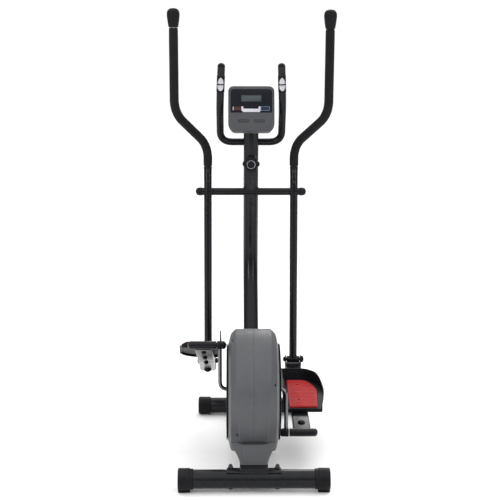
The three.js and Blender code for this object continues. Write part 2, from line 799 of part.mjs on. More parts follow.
function buildConsole() {
  const group = addGroup(CONSOLE_PLACE, CONSOLE_TILT);
  const front = acrossY(consoleOutline(0), -22, -GAP / 2, {
    bevelThickness: 5,
    bevelSize: 5,
    bevelOffset: -5,
    bevelSegments: 2,
    curveSegments: 4,
  });
  const back = acrossY(consoleOutline(2), GAP / 2 - 12, CONSOLE_BACK, {
    bevelThickness: 12,
    bevelSize: 12,
    bevelOffset: -12,
    bevelSegments: 2,
    curveSegments: 4,
  });
  const backHalf = common(back, box(300, 100, 300, 0, 50 + GAP / 2, 0));
  const displayHeight = 42;
  const displayHole = box(76, 8, 26, 0, -20, displayHeight);
  const controls = [
    ["console_button_left", -51, 2, 30, 14],
    ["console_button_right", 51, 2, 30, 14],
    ["console_key_left", -29.5, -46, 38, 10],
    ["console_key_right", 29.5, -46, 38, 10],
  ];
  const wells = controls.map(([, x, z, width, height]) => box(width + 1, 8, height + 1, x, -20, z));
  addPart("console_front", cut(front, displayHole, ...wells), greyPlastic(), group);
  addPart("console_back", backHalf, greyPlastic(), group);
  const display = box(75.4, 4, 25.4, 0, -18.4, displayHeight);
  addPart("console_display", display, finish(0x4d585f, 0.1, 0), group);
  for (const [name, x, z, width, height] of controls) {
    const cap = acrossY(roundedRectangle(width, height, 3), -23.5, -18.2, {
      bevelThickness: 1,
      bevelSize: 1,
      bevelOffset: -1,
      bevelSegments: 1,
      curveSegments: 3,
    });
    addPart(name, cap.translate(x, 0, z), blackPlastic(), group);
  }
}

// ---------------------------------------------------------------- linkage
// The place of the lower joint: BAR_LENGTH from the crank pin and ARM_LENGTH from the arm pivot, on the lower side.
function lowerJoint(pin) {
  const between = new THREE.Vector2().subVectors(ARM_PIVOT, pin);
  const distance = between.length();
  const along = (BAR_LENGTH ** 2 - ARM_LENGTH ** 2 + distance ** 2) / (2 * distance);
  const aside = Math.sqrt(BAR_LENGTH ** 2 - along ** 2);
  const unit = between.normalize();
  return at(pin.x + along * unit.x + aside * unit.y, pin.y + along * unit.y - aside * unit.x);
}

const HANDLE_TUBE = 12.2;
const HANDLE_START = 34;
const GRIP_START = 97;
const GRIP_RADIUS = 16.8;
const KNOB_LENGTH = 70;
const HANDLE_CORNERS = [
  new THREE.Vector3(ARM_SIDE, 0, HANDLE_START),
  new THREE.Vector3(ARM_SIDE, 0, 176),
  new THREE.Vector3(285, -130, 290),
  new THREE.Vector3(285, -175, 596),
];
const HANDLE_BEND = 52; // reach of each bend along the straight runs

function buildArm(side, joint) {
  const tilt = Math.asin((joint.x - ARM_PIVOT.x) / ARM_LENGTH);
  const group = addGroup(ARM_PIVOT, tilt);
  const sidePost = (from, to, outer, inner) =>
    pipe(outer, inner, from, to, 14).rotateY(-UP).translate(ARM_SIDE, 0, 0);
  const tube = sidePost(-ARM_LENGTH + 9, GRIP_START - 1, ARM_TUBE, ARM_TUBE - 2);
  const upperBush = rod(14.4, 143 + GAP, 187, 14);
  const lowerBush = rod(13, ARM_SIDE - 25, ARM_SIDE + 25, 14).translate(0, 0, -ARM_LENGTH);
  const upperBore = rod(8 + 2 * GAP, 130, 200, 12);
  const lowerBore = rod(6 + 2 * GAP, 130, 200, 12).translate(0, 0, -ARM_LENGTH);
  const arm = cut(join(tube, upperBush, lowerBush), upperBore, lowerBore);
  addPart("lower_arm_" + side.name, sided(arm, side), paint(), group);

  const path = rounded(HANDLE_CORNERS, HANDLE_BEND);
  const length = path.getLength();
  const handle = tubeAlong(path, HANDLE_TUBE, HANDLE_TUBE - 1.5, 12, 24);
  addPart("upper_handle_" + side.name, sided(handle, side), paint(), group);
  const gripRun = new Stretch(path, (GRIP_START - HANDLE_START) / length, 1);
  const grip = tubeAlong(gripRun, GRIP_RADIUS, HANDLE_TUBE + 2.1, 14, 24);
  addPart("handle_grip_" + side.name, sided(grip, side), foam(), group);

  const end = path.getPointAt(1);
  const heading = path.getTangentAt(1);
  const bulb = new THREE.LatheGeometry(
    [
      new THREE.Vector2(0, 0.5),
      new THREE.Vector2(GRIP_RADIUS, 0.5),
      new THREE.Vector2(19, 8),
      new THREE.Vector2(21.5, 26),
      new THREE.Vector2(23.7, 48),
      new THREE.Vector2(21.5, 60),
      new THREE.Vector2(14, 68),
      new THREE.Vector2(0, KNOB_LENGTH),
    ],
    16,
  );
  bulb.applyQuaternion(new THREE.Quaternion().setFromUnitVectors(new THREE.Vector3(0, 1, 0), heading));
  addPart("handle_knob_" + side.name, sided(bulb.translate(end.x, end.y, end.z), side), blackPlastic(), group);
}

// ---------------------------------------------------------------- pedals
// Heights are above the line along the bar's top tube, which drops from the line of pin and joint.
const PEDAL_BACK = 140;
const PEDAL_FRONT = 418;
const PEDAL_INNER = 110;
const PEDAL_HEEL_OUTER = 243;
const PEDAL_OUTER = 258;
const PEDAL_UNDER = 11; // lower edge of the tray's skirt
const PEDAL_DECK = 21.7; // the face that the pad lies on
const PEDAL_WALL = 3.5;
const PEDAL_FLANGE_TOP = 80;
const PEDAL_TOE_TOP = 66;
const BAR_DROP = 24; // how far the bar falls from that line over its length

// The tray's outline seen from above, in the shape's x and y, drawn inset by a margin.
function pedalOutline(inset) {
  const inner = PEDAL_INNER + inset;
  const heelOuter = PEDAL_HEEL_OUTER - inset;
  const outer = PEDAL_OUTER - inset;
  const back = PEDAL_BACK + inset;
  const front = PEDAL_FRONT - inset;
  const shape = new THREE.Shape();
  shape.moveTo(inner, back);
  shape.lineTo(heelOuter - 6, back);
  shape.quadraticCurveTo(heelOuter, back, heelOuter + 1, back + 8);
  shape.bezierCurveTo(heelOuter + 2, back + 70, outer, back + 90, outer, back + 150);
  shape.bezierCurveTo(outer, front - 62, outer - 34, front, outer - 84, front);
  shape.lineTo(inner, front);
  return shape;
}

// An outline drawn from above, extruded upwards between two heights.
function upwards(shape, from, to, bevel = {}) {
  const thick = bevel.bevelThickness ?? 0;
  const geometry = new THREE.ExtrudeGeometry(shape, {
    depth: to - from - 2 * thick,
    bevelEnabled: thick > 0,
    curveSegments: 8,
    ...bevel,
  });
  return geometry.translate(0, 0, from + thick);
}

function pedalGeometry() {
  const block = upwards(pedalOutline(0), PEDAL_UNDER, PEDAL_FLANGE_TOP);
  const hollow = upwards(pedalOutline(PEDAL_WALL), PEDAL_DECK, PEDAL_FLANGE_TOP + 10);
  const underside = upwards(pedalOutline(2 * PEDAL_WALL), 0, PEDAL_DECK - 4);
  const rimLow = PEDAL_DECK + 3;
  const above = PEDAL_FLANGE_TOP + 20;
  const outerSlope = new THREE.Shape([
    at(PEDAL_BACK - 10, rimLow),
    at(PEDAL_BACK + 105, rimLow + 2),
    at(PEDAL_BACK + 165, 40),
    at(PEDAL_FRONT - 30, PEDAL_TOE_TOP),
    at(PEDAL_FRONT + 10, PEDAL_TOE_TOP),
    at(PEDAL_FRONT + 10, above),
    at(PEDAL_BACK - 10, above),
  ]);
  const innerSlope = new THREE.Shape([
    at(PEDAL_BACK - 10, 28),
    at(PEDAL_BACK + 38, 29),
    at(PEDAL_BACK + 66, PEDAL_FLANGE_TOP),
    at(PEDAL_BACK + 120, PEDAL_FLANGE_TOP),
    at(PEDAL_BACK + 190, PEDAL_TOE_TOP + 2),
    at(PEDAL_FRONT + 10, PEDAL_TOE_TOP),
    at(PEDAL_FRONT + 10, above),
    at(PEDAL_BACK - 10, above),
  ]);
  const outerCut = acrossX(outerSlope, PEDAL_INNER + PEDAL_WALL + 0.1, PEDAL_OUTER + 20);
  const innerCut = acrossX(innerSlope, PEDAL_INNER - 10, PEDAL_INNER + PEDAL_WALL + 0.2);
  return cut(block, hollow, underside, outerCut, innerCut);
}

function padGeometry() {
  const inner = PEDAL_INNER + 19;
  const back = PEDAL_BACK + 11;
  const front = PEDAL_FRONT - 25;
  const shape = new THREE.Shape();
  shape.moveTo(inner, back);
  shape.lineTo(222, back);
  shape.quadraticCurveTo(227, back, 227, back + 6);
  shape.lineTo(234, back + 140);
  shape.bezierCurveTo(235, back + 165, 214, front, 186, front);
  shape.lineTo(inner, front);
  const bottom = PEDAL_DECK + GAP;
  return upwards(shape, bottom, bottom + 8, {
    bevelThickness: 1.5,
    bevelSize: 1.5,
    bevelOffset: -1.5,
    bevelSegments: 1,
  });
}

function buildPedalBar(side, pin, joint) {
  const run = new THREE.Vector2().subVectors(joint, pin);
  const group = addGroup(pin, Math.atan2(run.y, run.x));
  const slope = -Math.atan2(BAR_DROP, BAR_LENGTH);
  const barRun = BAR_LENGTH - 2;
  const bar = box(BAR_WIDTH, barRun, BAR_HEIGHT, ARM_SIDE, barRun / 2 + 10, -3).rotateX(slope);
  const barHollow = box(BAR_WIDTH - 5, barRun + 40, BAR_HEIGHT - 5, ARM_SIDE, barRun / 2 + 35, -3).rotateX(slope);
  const crossTube = turned(
    [
      [CRANK_END + 2, 0],
      [CRANK_END + 2, 13.3],
      [206, 13.3],
      [213, 10],
      [216, 4],
      [216.5, 0],
    ],
    14,
  );
  const brackets = [PEDAL_BACK + 50, PEDAL_FRONT - 60].map((y) =>
    boxBetween(
      new THREE.Vector3(ARM_SIDE - 28.5, y - 17, -8),
      new THREE.Vector3(ARM_SIDE + 28.5, y + 17, PEDAL_DECK - 4 - GAP),
    ).rotateX(slope),
  );
  const ear = new THREE.Shape();
  ear.moveTo(BAR_LENGTH - 22, -34);
  ear.lineTo(BAR_LENGTH + 16, -34);
  ear.lineTo(BAR_LENGTH + 16, 0);
  ear.absarc(BAR_LENGTH, 0, 16, 0, Math.PI, false);
  const ears = [-1, 1].map((sign) => acrossX(ear, ARM_SIDE + sign * 29 - 2, ARM_SIDE + sign * 29 + 2));
  const bore = rod(6 + 2 * GAP, 100, 230, 12).translate(0, BAR_LENGTH, 0);
  const frame = join(cut(bar, barHollow), crossTube, ...brackets, ...ears);
  addPart("pedal_bar_" + side.name, sided(cut(frame, bore), side), paint(), group);
  addPart("pedal_" + side.name, sided(pedalGeometry().rotateX(slope), side), blackPlastic(), group);
  addPart("pedal_pad_" + side.name, sided(padGeometry().rotateX(slope), side), finish(0xb83c3e, 0.6, 0), group);
  const bolt = turned(
    [
      [126, 0],
      [126, 6],
      [128, 6],
      [128, 10],
      [ARM_SIDE - 31 - GAP, 10],
      [ARM_SIDE - 31 - GAP, 6],
      [ARM_SIDE + 31 + GAP, 6],
      [ARM_SIDE + 31 + GAP, 13],
      [201, 13],
      [205.5, 9.5],
      [207, 0],
    ],
    12,
  );
  addPart("lower_joint_bolt_" + side.name, sided(bolt.translate(0, BAR_LENGTH, 0), side), blackPlastic(), group);
}

// ---------------------------------------------------------------- assembly
buildFrame();
buildStabilizer("rear_stabilizer", REAR_AXIS, REAR_HALF_LENGTH - 48 - GAP);
buildStabilizer("front_stabilizer", FRONT_AXIS, FRONT_HALF_LENGTH - 48 - GAP);
buildHousing();
buildTailCover();
buildCrank();
buildFlywheel();
buildPost();
buildPivotAxle();
buildPulseBar();
buildTensionKnob();
buildConsole();
for (const side of SIDES) {
  const pin = at(CRANK_AXIS.x, CRANK_AXIS.y - side.sign * CRANK_RADIUS);
  const joint = lowerJoint(pin);
  buildFeet(side);
  buildStabilizerBolt("rear_bolt_" + side.name, REAR_AXIS, side);
  buildArm(side, joint);
  buildPedalBar(side, pin, joint);
}

export default trainer;
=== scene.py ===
"""Elliptical trainer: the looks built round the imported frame.

Metres, +Z up, +Y towards the console, +X to the user's right, in the frame's own coordinates.
A sided piece is drawn for the right side and mirrored for the left.
"""

import math

import bmesh
import bpy
from mathutils import Matrix, Quaternion, Vector


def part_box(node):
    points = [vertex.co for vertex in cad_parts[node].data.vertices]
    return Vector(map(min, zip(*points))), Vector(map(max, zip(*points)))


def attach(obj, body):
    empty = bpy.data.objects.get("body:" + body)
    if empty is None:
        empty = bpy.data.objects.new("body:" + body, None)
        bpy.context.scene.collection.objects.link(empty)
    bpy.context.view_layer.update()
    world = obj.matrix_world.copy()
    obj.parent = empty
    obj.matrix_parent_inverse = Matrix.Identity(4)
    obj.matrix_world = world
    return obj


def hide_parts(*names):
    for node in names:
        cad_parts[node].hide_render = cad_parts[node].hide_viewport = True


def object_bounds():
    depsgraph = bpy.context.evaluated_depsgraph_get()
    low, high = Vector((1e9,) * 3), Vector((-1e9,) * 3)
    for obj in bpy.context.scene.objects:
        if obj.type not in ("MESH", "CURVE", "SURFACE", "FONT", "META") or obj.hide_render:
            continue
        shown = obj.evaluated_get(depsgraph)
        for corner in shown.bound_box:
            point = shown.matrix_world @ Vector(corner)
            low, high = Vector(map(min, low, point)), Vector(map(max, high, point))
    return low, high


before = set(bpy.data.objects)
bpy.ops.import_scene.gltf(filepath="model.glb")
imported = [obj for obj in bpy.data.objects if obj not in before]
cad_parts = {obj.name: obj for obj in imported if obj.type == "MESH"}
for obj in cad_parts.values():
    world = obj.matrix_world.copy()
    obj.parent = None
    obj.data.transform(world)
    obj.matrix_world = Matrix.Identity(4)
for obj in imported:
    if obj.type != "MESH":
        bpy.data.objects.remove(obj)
CAD_LOW, CAD_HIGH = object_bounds()

SIDES = (("left", -1), ("right", 1))


def middle(node):
    low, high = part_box(node)
    return (low + high) / 2


def in_plane(node):
    """A node's middle, moved to the machine's middle plane."""
    centre = middle(node)
    return Vector((0, centre.y, centre.z))


REAR_AXIS = in_plane("rear_stabilizer")
FRONT_AXIS = in_plane("front_stabilizer")
CRANK_AXIS = in_plane("drive_pulley")
FLYWHEEL_AXIS = in_plane("flywheel")
ARM_PIVOT = in_plane("pivot_axle")
DRUM_CENTRE = in_plane("crank_cover_right")
LOWER_JOINT = {name: in_plane("lower_joint_bolt_" + name) for name, _ in SIDES}
CRANK_PIN = {name: in_plane("crank_nut_cap_" + name) for name, _ in SIDES}

# ---------------------------------------------------------------- camera, floor and lights


def set_camera():
    camera = bpy.data.objects.new("camera", bpy.data.cameras.new("camera"))
    bpy.context.scene.collection.objects.link(camera)
    camera.data.sensor_width = 36
    camera.data.lens = 76.5
    camera.data.clip_end = 200
    camera.location = (-0.0555, REAR_AXIS.y - 3.21, 1.25)
    pitch = math.radians(8.46)
    yaw = math.radians(0.74)
    roll = math.radians(0.1)
    heading = Vector((math.sin(yaw) * math.cos(pitch), math.cos(yaw) * math.cos(pitch), -math.sin(pitch)))
    camera.rotation_euler = (heading.to_track_quat("-Z", "Y") @ Quaternion((0, 0, 1), roll)).to_euler()
    bpy.context.scene.camera = camera


def add_light(name, place, aim, size, power):
    light = bpy.data.lights.new(name, "AREA")
    light.shape = "RECTANGLE"
    light.size, light.size_y = size
    light.energy = power
    lamp = bpy.data.objects.new(name, light)
    bpy.context.scene.collection.objects.link(lamp)
    lamp.location = place
    lamp.rotation_euler = (Vector(aim) - Vector(place)).to_track_quat("-Z", "Y").to_euler()


def set_studio():
    """A world bright overhead and dim at the horizon, two tall soft lights and a white backdrop."""
    world = bpy.data.worlds.new("studio")
    bpy.context.scene.world = world
    world.use_nodes = True
    tree = world.node_tree
    direction = tree.nodes.new("ShaderNodeTexCoord").outputs["Generated"]
    split = tree.nodes.new("ShaderNodeSeparateXYZ")
    tree.links.new(direction, split.inputs["Vector"])
    tree.links.new(
        add_range(tree, split.outputs["Z"], 0.15, 0.85, 0.22, 1.75),
        tree.nodes["Background"].inputs["Strength"],
    )
    tree.nodes["Background"].inputs["Color"].default_value = (1, 1, 1, 1)
    add_light("key", (-2.6, -2.9, 2.2), (0, -0.1, 0.7), (0.25, 2.2), 55)
    add_light("fill", (2.7, -2.5, 2.0), (0, -0.1, 0.6), (0.25, 2.2), 34)
    add_light("back", (0.6, 3.2, 2.4), (0, 0, 0.8), (2.0, 1.6), 40)
    mesh = bpy.data.meshes.new("floor")
    reach = 60
    mesh.from_pydata(
        [(-reach, -reach, 0), (reach, -reach, 0), (reach, reach, 0), (-reach, reach, 0)], [], [(0, 1, 2, 3)]
    )
    floor = bpy.data.objects.new("floor", mesh)
    bpy.context.scene.collection.objects.link(floor)
    floor.location.z = CAD_LOW.z - 0.0005
    mesh.materials.append(surface("floor_paint", (0.93, 0.93, 0.93), 0.7, patchy=0.01, grain=(90, 0.02)))
    wall_mesh = bpy.data.meshes.new("backdrop")
    ball = bmesh.new()
    bmesh.ops.create_icosphere(ball, subdivisions=4, radius=70)
    ball.to_mesh(wall_mesh)
    ball.free()
    white = bpy.data.materials.new("backdrop_white")
    white.use_nodes = True
    shader = white.node_tree.nodes["Principled BSDF"]
    shader.inputs["Base Color"].default_value = (0, 0, 0, 1)
    shader.inputs["Emission Color"].default_value = (1, 1, 1, 1)
    shader.inputs["Emission Strength"].default_value = 1.0
    wall_mesh.materials.append(white)
    wall = bpy.data.objects.new("backdrop", wall_mesh)
    bpy.context.scene.collection.objects.link(wall)
    wall.visible_diffuse = wall.visible_glossy = wall.visible_transmission = wall.visible_shadow = False


# ---------------------------------------------------------------- materials
def add_noise(tree, scale, detail=3.0, stretch=(1, 1, 1), seed=0.0):
    """A noise value that keeps to the piece."""
    place = tree.nodes.new("ShaderNodeTexCoord")
    mapping = tree.nodes.new("ShaderNodeMapping")
    mapping.inputs["Location"].default_value = (seed, seed * 1.7, seed * 0.6)
    mapping.inputs["Scale"].default_value = stretch
    noise = tree.nodes.new("ShaderNodeTexNoise")
    noise.inputs["Scale"].default_value = scale
    noise.inputs["Detail"].default_value = detail
    tree.links.new(place.outputs["Object"], mapping.inputs["Vector"])
    tree.links.new(mapping.outputs["Vector"], noise.inputs["Vector"])
    return noise.outputs["Fac"]


def add_range(tree, value, low, high, to_low, to_high):
    mapped = tree.nodes.new("ShaderNodeMapRange")
    for socket, number in (("From Min", low), ("From Max", high), ("To Min", to_low), ("To Max", to_high)):
        mapped.inputs[socket].default_value = number
    tree.links.new(value, mapped.inputs["Value"])
    return mapped.outputs["Result"]


def add_mix(tree, share, first, second):
    """Colours mixed by a share; each is a colour or a socket."""
    mix = tree.nodes.new("ShaderNodeMix")
    mix.data_type = "RGBA"
    tree.links.new(share, mix.inputs["Factor"])
    for socket, colour in ((mix.inputs["A"], first), (mix.inputs["B"], second)):
        if isinstance(colour, bpy.types.NodeSocket):
            tree.links.new(colour, socket)
        else:
            socket.default_value = (*colour, 1)
    return mix.outputs["Result"]


def add_product(tree, first, second):
    times = tree.nodes.new("ShaderNodeMath")
    times.operation = "MULTIPLY"
    tree.links.new(first, times.inputs[0])
    tree.links.new(second, times.inputs[1])
    return times.outputs["Value"]


def surface(
    name,
    colour,
    rough,
    metal=0.0,
    patchy=0.12,
    uneven=0.06,
    grain=(700, 0.12),
    stretch=(1, 1, 1),
    worn=None,
    dusty=0.0,
    specular=0.5,
    coat=0.0,
    sheen=0.0,
):
    """A finish with patches of tone, uneven gloss, a fine grain, rubbed edges and a trace of dust."""
    material = bpy.data.materials.new(name)
    material.use_nodes = True
    tree = material.node_tree
    shader = tree.nodes["Principled BSDF"]
    darker = [c * (1 - patchy) for c in colour]
    lighter = [min(1.0, c * (1 + patchy)) for c in colour]
    tone = add_mix(tree, add_range(tree, add_noise(tree, 9, seed=1), 0.35, 0.65, 0, 1), darker, lighter)
    if worn:
        edge = tree.nodes.new("ShaderNodeNewGeometry").outputs["Pointiness"]
        rubbed = add_range(tree, edge, 0.53, 0.62, 0, 0.7)
        broken = add_range(tree, add_noise(tree, 60, 4, seed=4), 0.42, 0.6, 0, 1)
        tone = add_mix(tree, add_product(tree, rubbed, broken), tone, worn)
    if dusty:
        normal = tree.nodes.new("ShaderNodeNewGeometry").outputs["Normal"]
        split = tree.nodes.new("ShaderNodeSeparateXYZ")
        tree.links.new(normal, split.inputs["Vector"])
        facing = add_range(tree, split.outputs["Z"], 0.3, 1.0, 0, dusty)
        drift = add_range(tree, add_noise(tree, 22, 5, seed=8), 0.4, 0.7, 0.2, 1)
        tone = add_mix(tree, add_product(tree, facing, drift), tone, (0.45, 0.44, 0.42))
    tree.links.new(tone, shader.inputs["Base Color"])
    smudge = add_noise(tree, 26, 4, stretch, seed=2)
    gloss = add_range(tree, smudge, 0.3, 0.7, max(0.03, rough - uneven), min(1.0, rough + uneven))
    tree.links.new(gloss, shader.inputs["Roughness"])
    bump = tree.nodes.new("ShaderNodeBump")
    bump.inputs["Strength"].default_value = grain[1]
    bump.inputs["Distance"].default_value = 0.0004
    tree.links.new(add_noise(tree, grain[0], 2, stretch, seed=3), bump.inputs["Height"])
    tree.links.new(bump.outputs["Normal"], shader.inputs["Normal"])
    shader.inputs["Metallic"].default_value = metal
    shader.inputs["Specular IOR Level"].default_value = specular
    shader.inputs["Coat Weight"].default_value = coat
    shader.inputs["Coat Roughness"].default_value = 0.12
    shader.inputs["Sheen Weight"].default_value = sheen
    return material


def make_finishes():
    return {
        "paint_black": surface(
            "powder_coat",
            (0.0050, 0.0054, 0.0072),
            0.24,
            uneven=0.03,
            grain=(420, 0.06),
            worn=(0.03, 0.03, 0.033),
            dusty=0.01,
            specular=0.2,
        ),
        "plastic_black": surface(
            "moulded_black", (0.006, 0.006, 0.0075), 0.5, grain=(1500, 0.2), dusty=0.02, specular=0.12
        ),
        "plastic_grey": surface(
            "moulded_grey",
            (0.060, 0.0615, 0.067),
            0.44,
            patchy=0.02,
            uneven=0.04,
            grain=(1300, 0.18),
            worn=(0.085, 0.087, 0.093),
            specular=0.4,
        ),
        "console_grey": surface(
            "console_grey", (0.046, 0.047, 0.052), 0.46, patchy=0.02, uneven=0.04, grain=(1300, 0.18),
            specular=0.35,
        ),
        "key_grey": surface(
            "key_grey", (0.030, 0.031, 0.034), 0.5, patchy=0.03, grain=(1300, 0.18), specular=0.3
        ),
        "foam_black": surface(
            "grip_foam", (0.006, 0.006, 0.0075), 0.78, grain=(1100, 0.7), specular=0.15, sheen=0.04
        ),
        # Chrome metal whose colour is pushed far below real chrome: painted shade, the dark surroundings it
        # reflects put into its colour
        "chrome": surface(
            "chrome_darkened_as_painted_shade", (0.13, 0.132, 0.14), 0.14, 1.0, patchy=0.04, uneven=0.05, grain=(300, 0.02)
        ),
        "sensor_steel": surface(
            "brushed_steel", (0.42, 0.43, 0.45), 0.28, 1.0, patchy=0.05, grain=(500, 0.12), stretch=(1, 1, 14)
        ),
        "zinc": surface("zinc_plate", (0.30, 0.305, 0.32), 0.33, 1.0, patchy=0.15, grain=(600, 0.15)),
        "dark_steel": surface(
            "blackened_steel", (0.03, 0.03, 0.034), 0.3, 0.8, patchy=0.2, worn=(0.25, 0.25, 0.27)
        ),
        "cast_iron": surface("machined_iron", (0.17, 0.17, 0.18), 0.5, 0.9, patchy=0.2, grain=(240, 0.35)),
        "belt_rubber": surface("belt_rubber", (0.02, 0.02, 0.021), 0.8, grain=(800, 0.4)),
        "pad_red": surface(
            "pad_rubber", (0.38, 0.02, 0.022), 0.6, patchy=0.06, grain=(900, 0.3),
            worn=(0.42, 0.05, 0.05), specular=0.2,
        ),
        "display": surface(
            "display_glass", (0.03, 0.042, 0.05), 0.14, patchy=0.05, grain=(50, 0.01), specular=0.3, coat=0.2
        ),
        "face": surface(
            "printed_face", (0.005, 0.006, 0.010), 0.32, patchy=0.08, grain=(600, 0.05), specular=0.12
        ),
        "silver": surface("silver_trim", (0.46, 0.47, 0.51), 0.34, 0.15, patchy=0.04, grain=(700, 0.08)),
        "button_red": surface(
            "button_red", (0.045, 0.013, 0.013), 0.42, patchy=0.1, grain=(900, 0.12), specular=0.3
        ),
        "button_blue": surface(
            "button_blue", (0.007, 0.011, 0.036), 0.42, patchy=0.1, grain=(900, 0.12), specular=0.3
        ),
        "pale_blue": surface("button_border", (0.20, 0.26, 0.40), 0.4, patchy=0.06, grain=(900, 0.1)),
    }


# ---------------------------------------------------------------- shapes: a shape is (points, faces)
def stack(rings, closed=False):
    """Rings of the same count joined one to the next, capped at both ends or closed on themselves."""
    count = len(rings[0])
    points = [p for ring in rings for p in ring]
    pairs = [(k, k + 1) for k in range(len(rings) - 1)]
    if closed:
        pairs.append((len(rings) - 1, 0))
    faces = []
    for a, b in pairs:
        for i in range(count):
            j = (i + 1) % count
            faces.append((a * count + i, a * count + j, b * count + j, b * count + i))
    if not closed:
        faces.append(tuple(reversed(range(count))))
        faces.append(tuple((len(rings) - 1) * count + i for i in range(count)))
    return points, faces


def merged(*shapes):
    points, faces = [], []
    for more_points, more_faces in shapes:
        faces += [tuple(i + len(points) for i in face) for face in more_faces]
        points += more_points
    return points, faces


def moved(shape, matrix):
    return [matrix @ Vector(p) for p in shape[0]], shape[1]


def mirrored(shape):
    return [Vector((-p[0], p[1], p[2])) for p in shape[0]], shape[1]


def sided(shape, sign):
    return shape if sign > 0 else mirrored(shape)


def shifted(shape, x, y, z):
    return moved(shape, Matrix.Translation((x, y, z)))


def pointing(direction, place=(0, 0, 0)):
    """The matrix that lays a piece drawn along X along a direction, from a place."""
    turn = Vector((1, 0, 0)).rotation_difference(Vector(direction)).to_matrix().to_4x4()
    return Matrix.Translation(place) @ turn


def circle(radius, sides=40):
    return [
        (radius * math.cos(2 * math.pi * i / sides), radius * math.sin(2 * math.pi * i / sides))
        for i in range(sides)
    ]


def quarter(steps):
    """Angles from 0 to a quarter turn."""
    return [math.pi / 2 * k / steps for k in range(steps + 1)]


def arc(centre, radius, start, stop, steps):
    """Points of an arc from one angle to another in degrees, both ends kept."""
    angles = [math.radians(start + (stop - start) * i / steps) for i in range(steps + 1)]
    return [(centre[0] + radius * math.cos(a), centre[1] + radius * math.sin(a)) for a in angles]


def softened(points, radius, steps=4, closed=False):
    """A run of points with its corners rounded; radius is one value, or one for each point."""
    points = [Vector(p) for p in points]
    count = len(points)
    radii = radius if isinstance(radius, (list, tuple)) else [radius] * count
    made = []
    for i, corner in enumerate(points):
        if not closed and i in (0, count - 1) or radii[i] == 0:
            made.append(corner)
            continue
        before, after = points[i - 1] - corner, points[(i + 1) % count] - corner
        reach = min(radii[i], before.length * 0.49, after.length * 0.49)
        first, last = corner + before.normalized() * reach, corner + after.normalized() * reach
        for k in range(steps + 1):
            t = k / steps
            made.append(first * (1 - t) ** 2 + corner * (2 * t * (1 - t)) + last * t**2)
    return made


def rounded_box(width, height, radius, steps=6):
    x, y = width / 2 - radius, height / 2 - radius
    corners = ((x, y, 0), (-x, y, 90), (-x, -y, 180), (x, -y, 270))
    return [p for cx, cy, turn in corners for p in arc((cx, cy), radius, turn, turn + 90, steps)]


def hexagon(radius):
    return softened([Vector(p) for p in circle(radius, 6)], radius * 0.08, 2, closed=True)


def inset(outline, amount):
    """An outline drawn anticlockwise, moved inwards along its corners' normals."""
    made = []
    count = len(outline)
    for i in range(count):
        p = Vector(outline[i][:2])
        before, after = p - Vector(outline[i - 1][:2]), Vector(outline[(i + 1) % count][:2]) - p
        if before.length < 1e-9:
            before = after
        if after.length < 1e-9:
            after = before
        a = Vector((-before.y, before.x)).normalized()
        b = Vector((-after.y, after.x)).normalized()
        made.append(p + (a + b) * (amount / max(0.3, 1 + a.dot(b))))
    return made


def edge_steps(edge, steps=4):
    """(distance along, distance in) of the rounded edge at an end."""
    return [(edge * (1 - math.cos(a)), edge * (1 - math.sin(a))) for a in quarter(steps)]


def slab(outline, low, high, edge=0.001, steps=3):
    """An outline raised from one height to another, with rounded edges."""
    levels = [(low + along, into) for along, into in edge_steps(edge, steps)]
    levels += [(high - along, into) for along, into in reversed(edge_steps(edge, steps))]
    return stack([[Vector((p[0], p[1], height)) for p in inset(outline, into)] for height, into in levels])


SIDE_VIEW = Matrix(
    ((0, 0, 1, 0), (1, 0, 0, 0), (0, 1, 0, 0), (0, 0, 0, 1))
)  # outline in (y, z), height along x
FRONT_VIEW = Matrix(
    ((1, 0, 0, 0), (0, 0, 1, 0), (0, 1, 0, 0), (0, 0, 0, 1))
)  # outline in (x, z), height along y


def turned(profile, sides=48, ring=False):
    """A piece turned about X. The profile is (x, radius); a ring's profile closes on itself."""
    angles = [2 * math.pi * i / sides for i in range(sides)]
    rings = [[Vector((x, r * math.cos(a), r * math.sin(a))) for a in angles] for x, r in profile]
    return stack(rings, closed=ring)


def lathe(profile, soft, steps=2, sides=48, ring=False):
    """A piece turned about X, with the corners of its profile softened."""
    return turned(softened(profile, soft, steps, closed=ring), sides, ring)


def sleeve(start, stop, inner, outer, soft=0.0, steps=2, sides=48):
    """A ring of rectangular section about X."""
    return lathe([(start, inner), (start, outer), (stop, outer), (stop, inner)], soft, steps, sides, True)


def dome(start, rise, radius, steps):
    """The profile of a dome: from its full radius to its tip on the axis."""
    return [(start + rise * math.sin(a), radius * math.cos(a)) for a in quarter(steps)]


def swept(path, section, edge=0.0, across=None, swell=None):
    """A bar of one section along a path, its ends rounded by edge; swell scales it along its length."""
    points = [Vector(p) for p in path]
    runs = [(b - a).length for a, b in zip(points, points[1:])]
    total = sum(runs)
    tangents = []
    for i in range(len(points)):
        ahead = points[min(i + 1, len(points) - 1)] - points[i]
        behind = points[i] - points[max(i - 1, 0)]
        tangents.append((ahead.normalized() + behind.normalized()).normalized())
    side = Vector(across) if across else tangents[0].orthogonal().normalized()
    rings, travelled = [], 0.0
    for i, point in enumerate(points):
        if i:
            side = tangents[i - 1].rotation_difference(tangents[i]) @ side
            travelled += runs[i - 1]
        up = tangents[i].cross(side)
        size = swell(travelled / total) if swell else 1.0
        levels = [(0.0, 0.0)]
        if edge and i == 0:
            levels = edge_steps(edge)
        if edge and i == len(points) - 1:
            levels = [(-along, into) for along, into in reversed(edge_steps(edge))]
        for along, into in levels:
            outline = inset(section, into) if into else section
            centre = point + tangents[i] * along
            rings.append([centre + side * (p[0] * size) + up * (p[1] * size) for p in outline])
    return stack(rings)


def rounded_path(corners, reach, steps=14):
    """Straight runs between corners, with each corner bent from `reach` before it to `reach` after it."""
    corners = [Vector(c) for c in corners]
    return softened(corners, reach, steps)


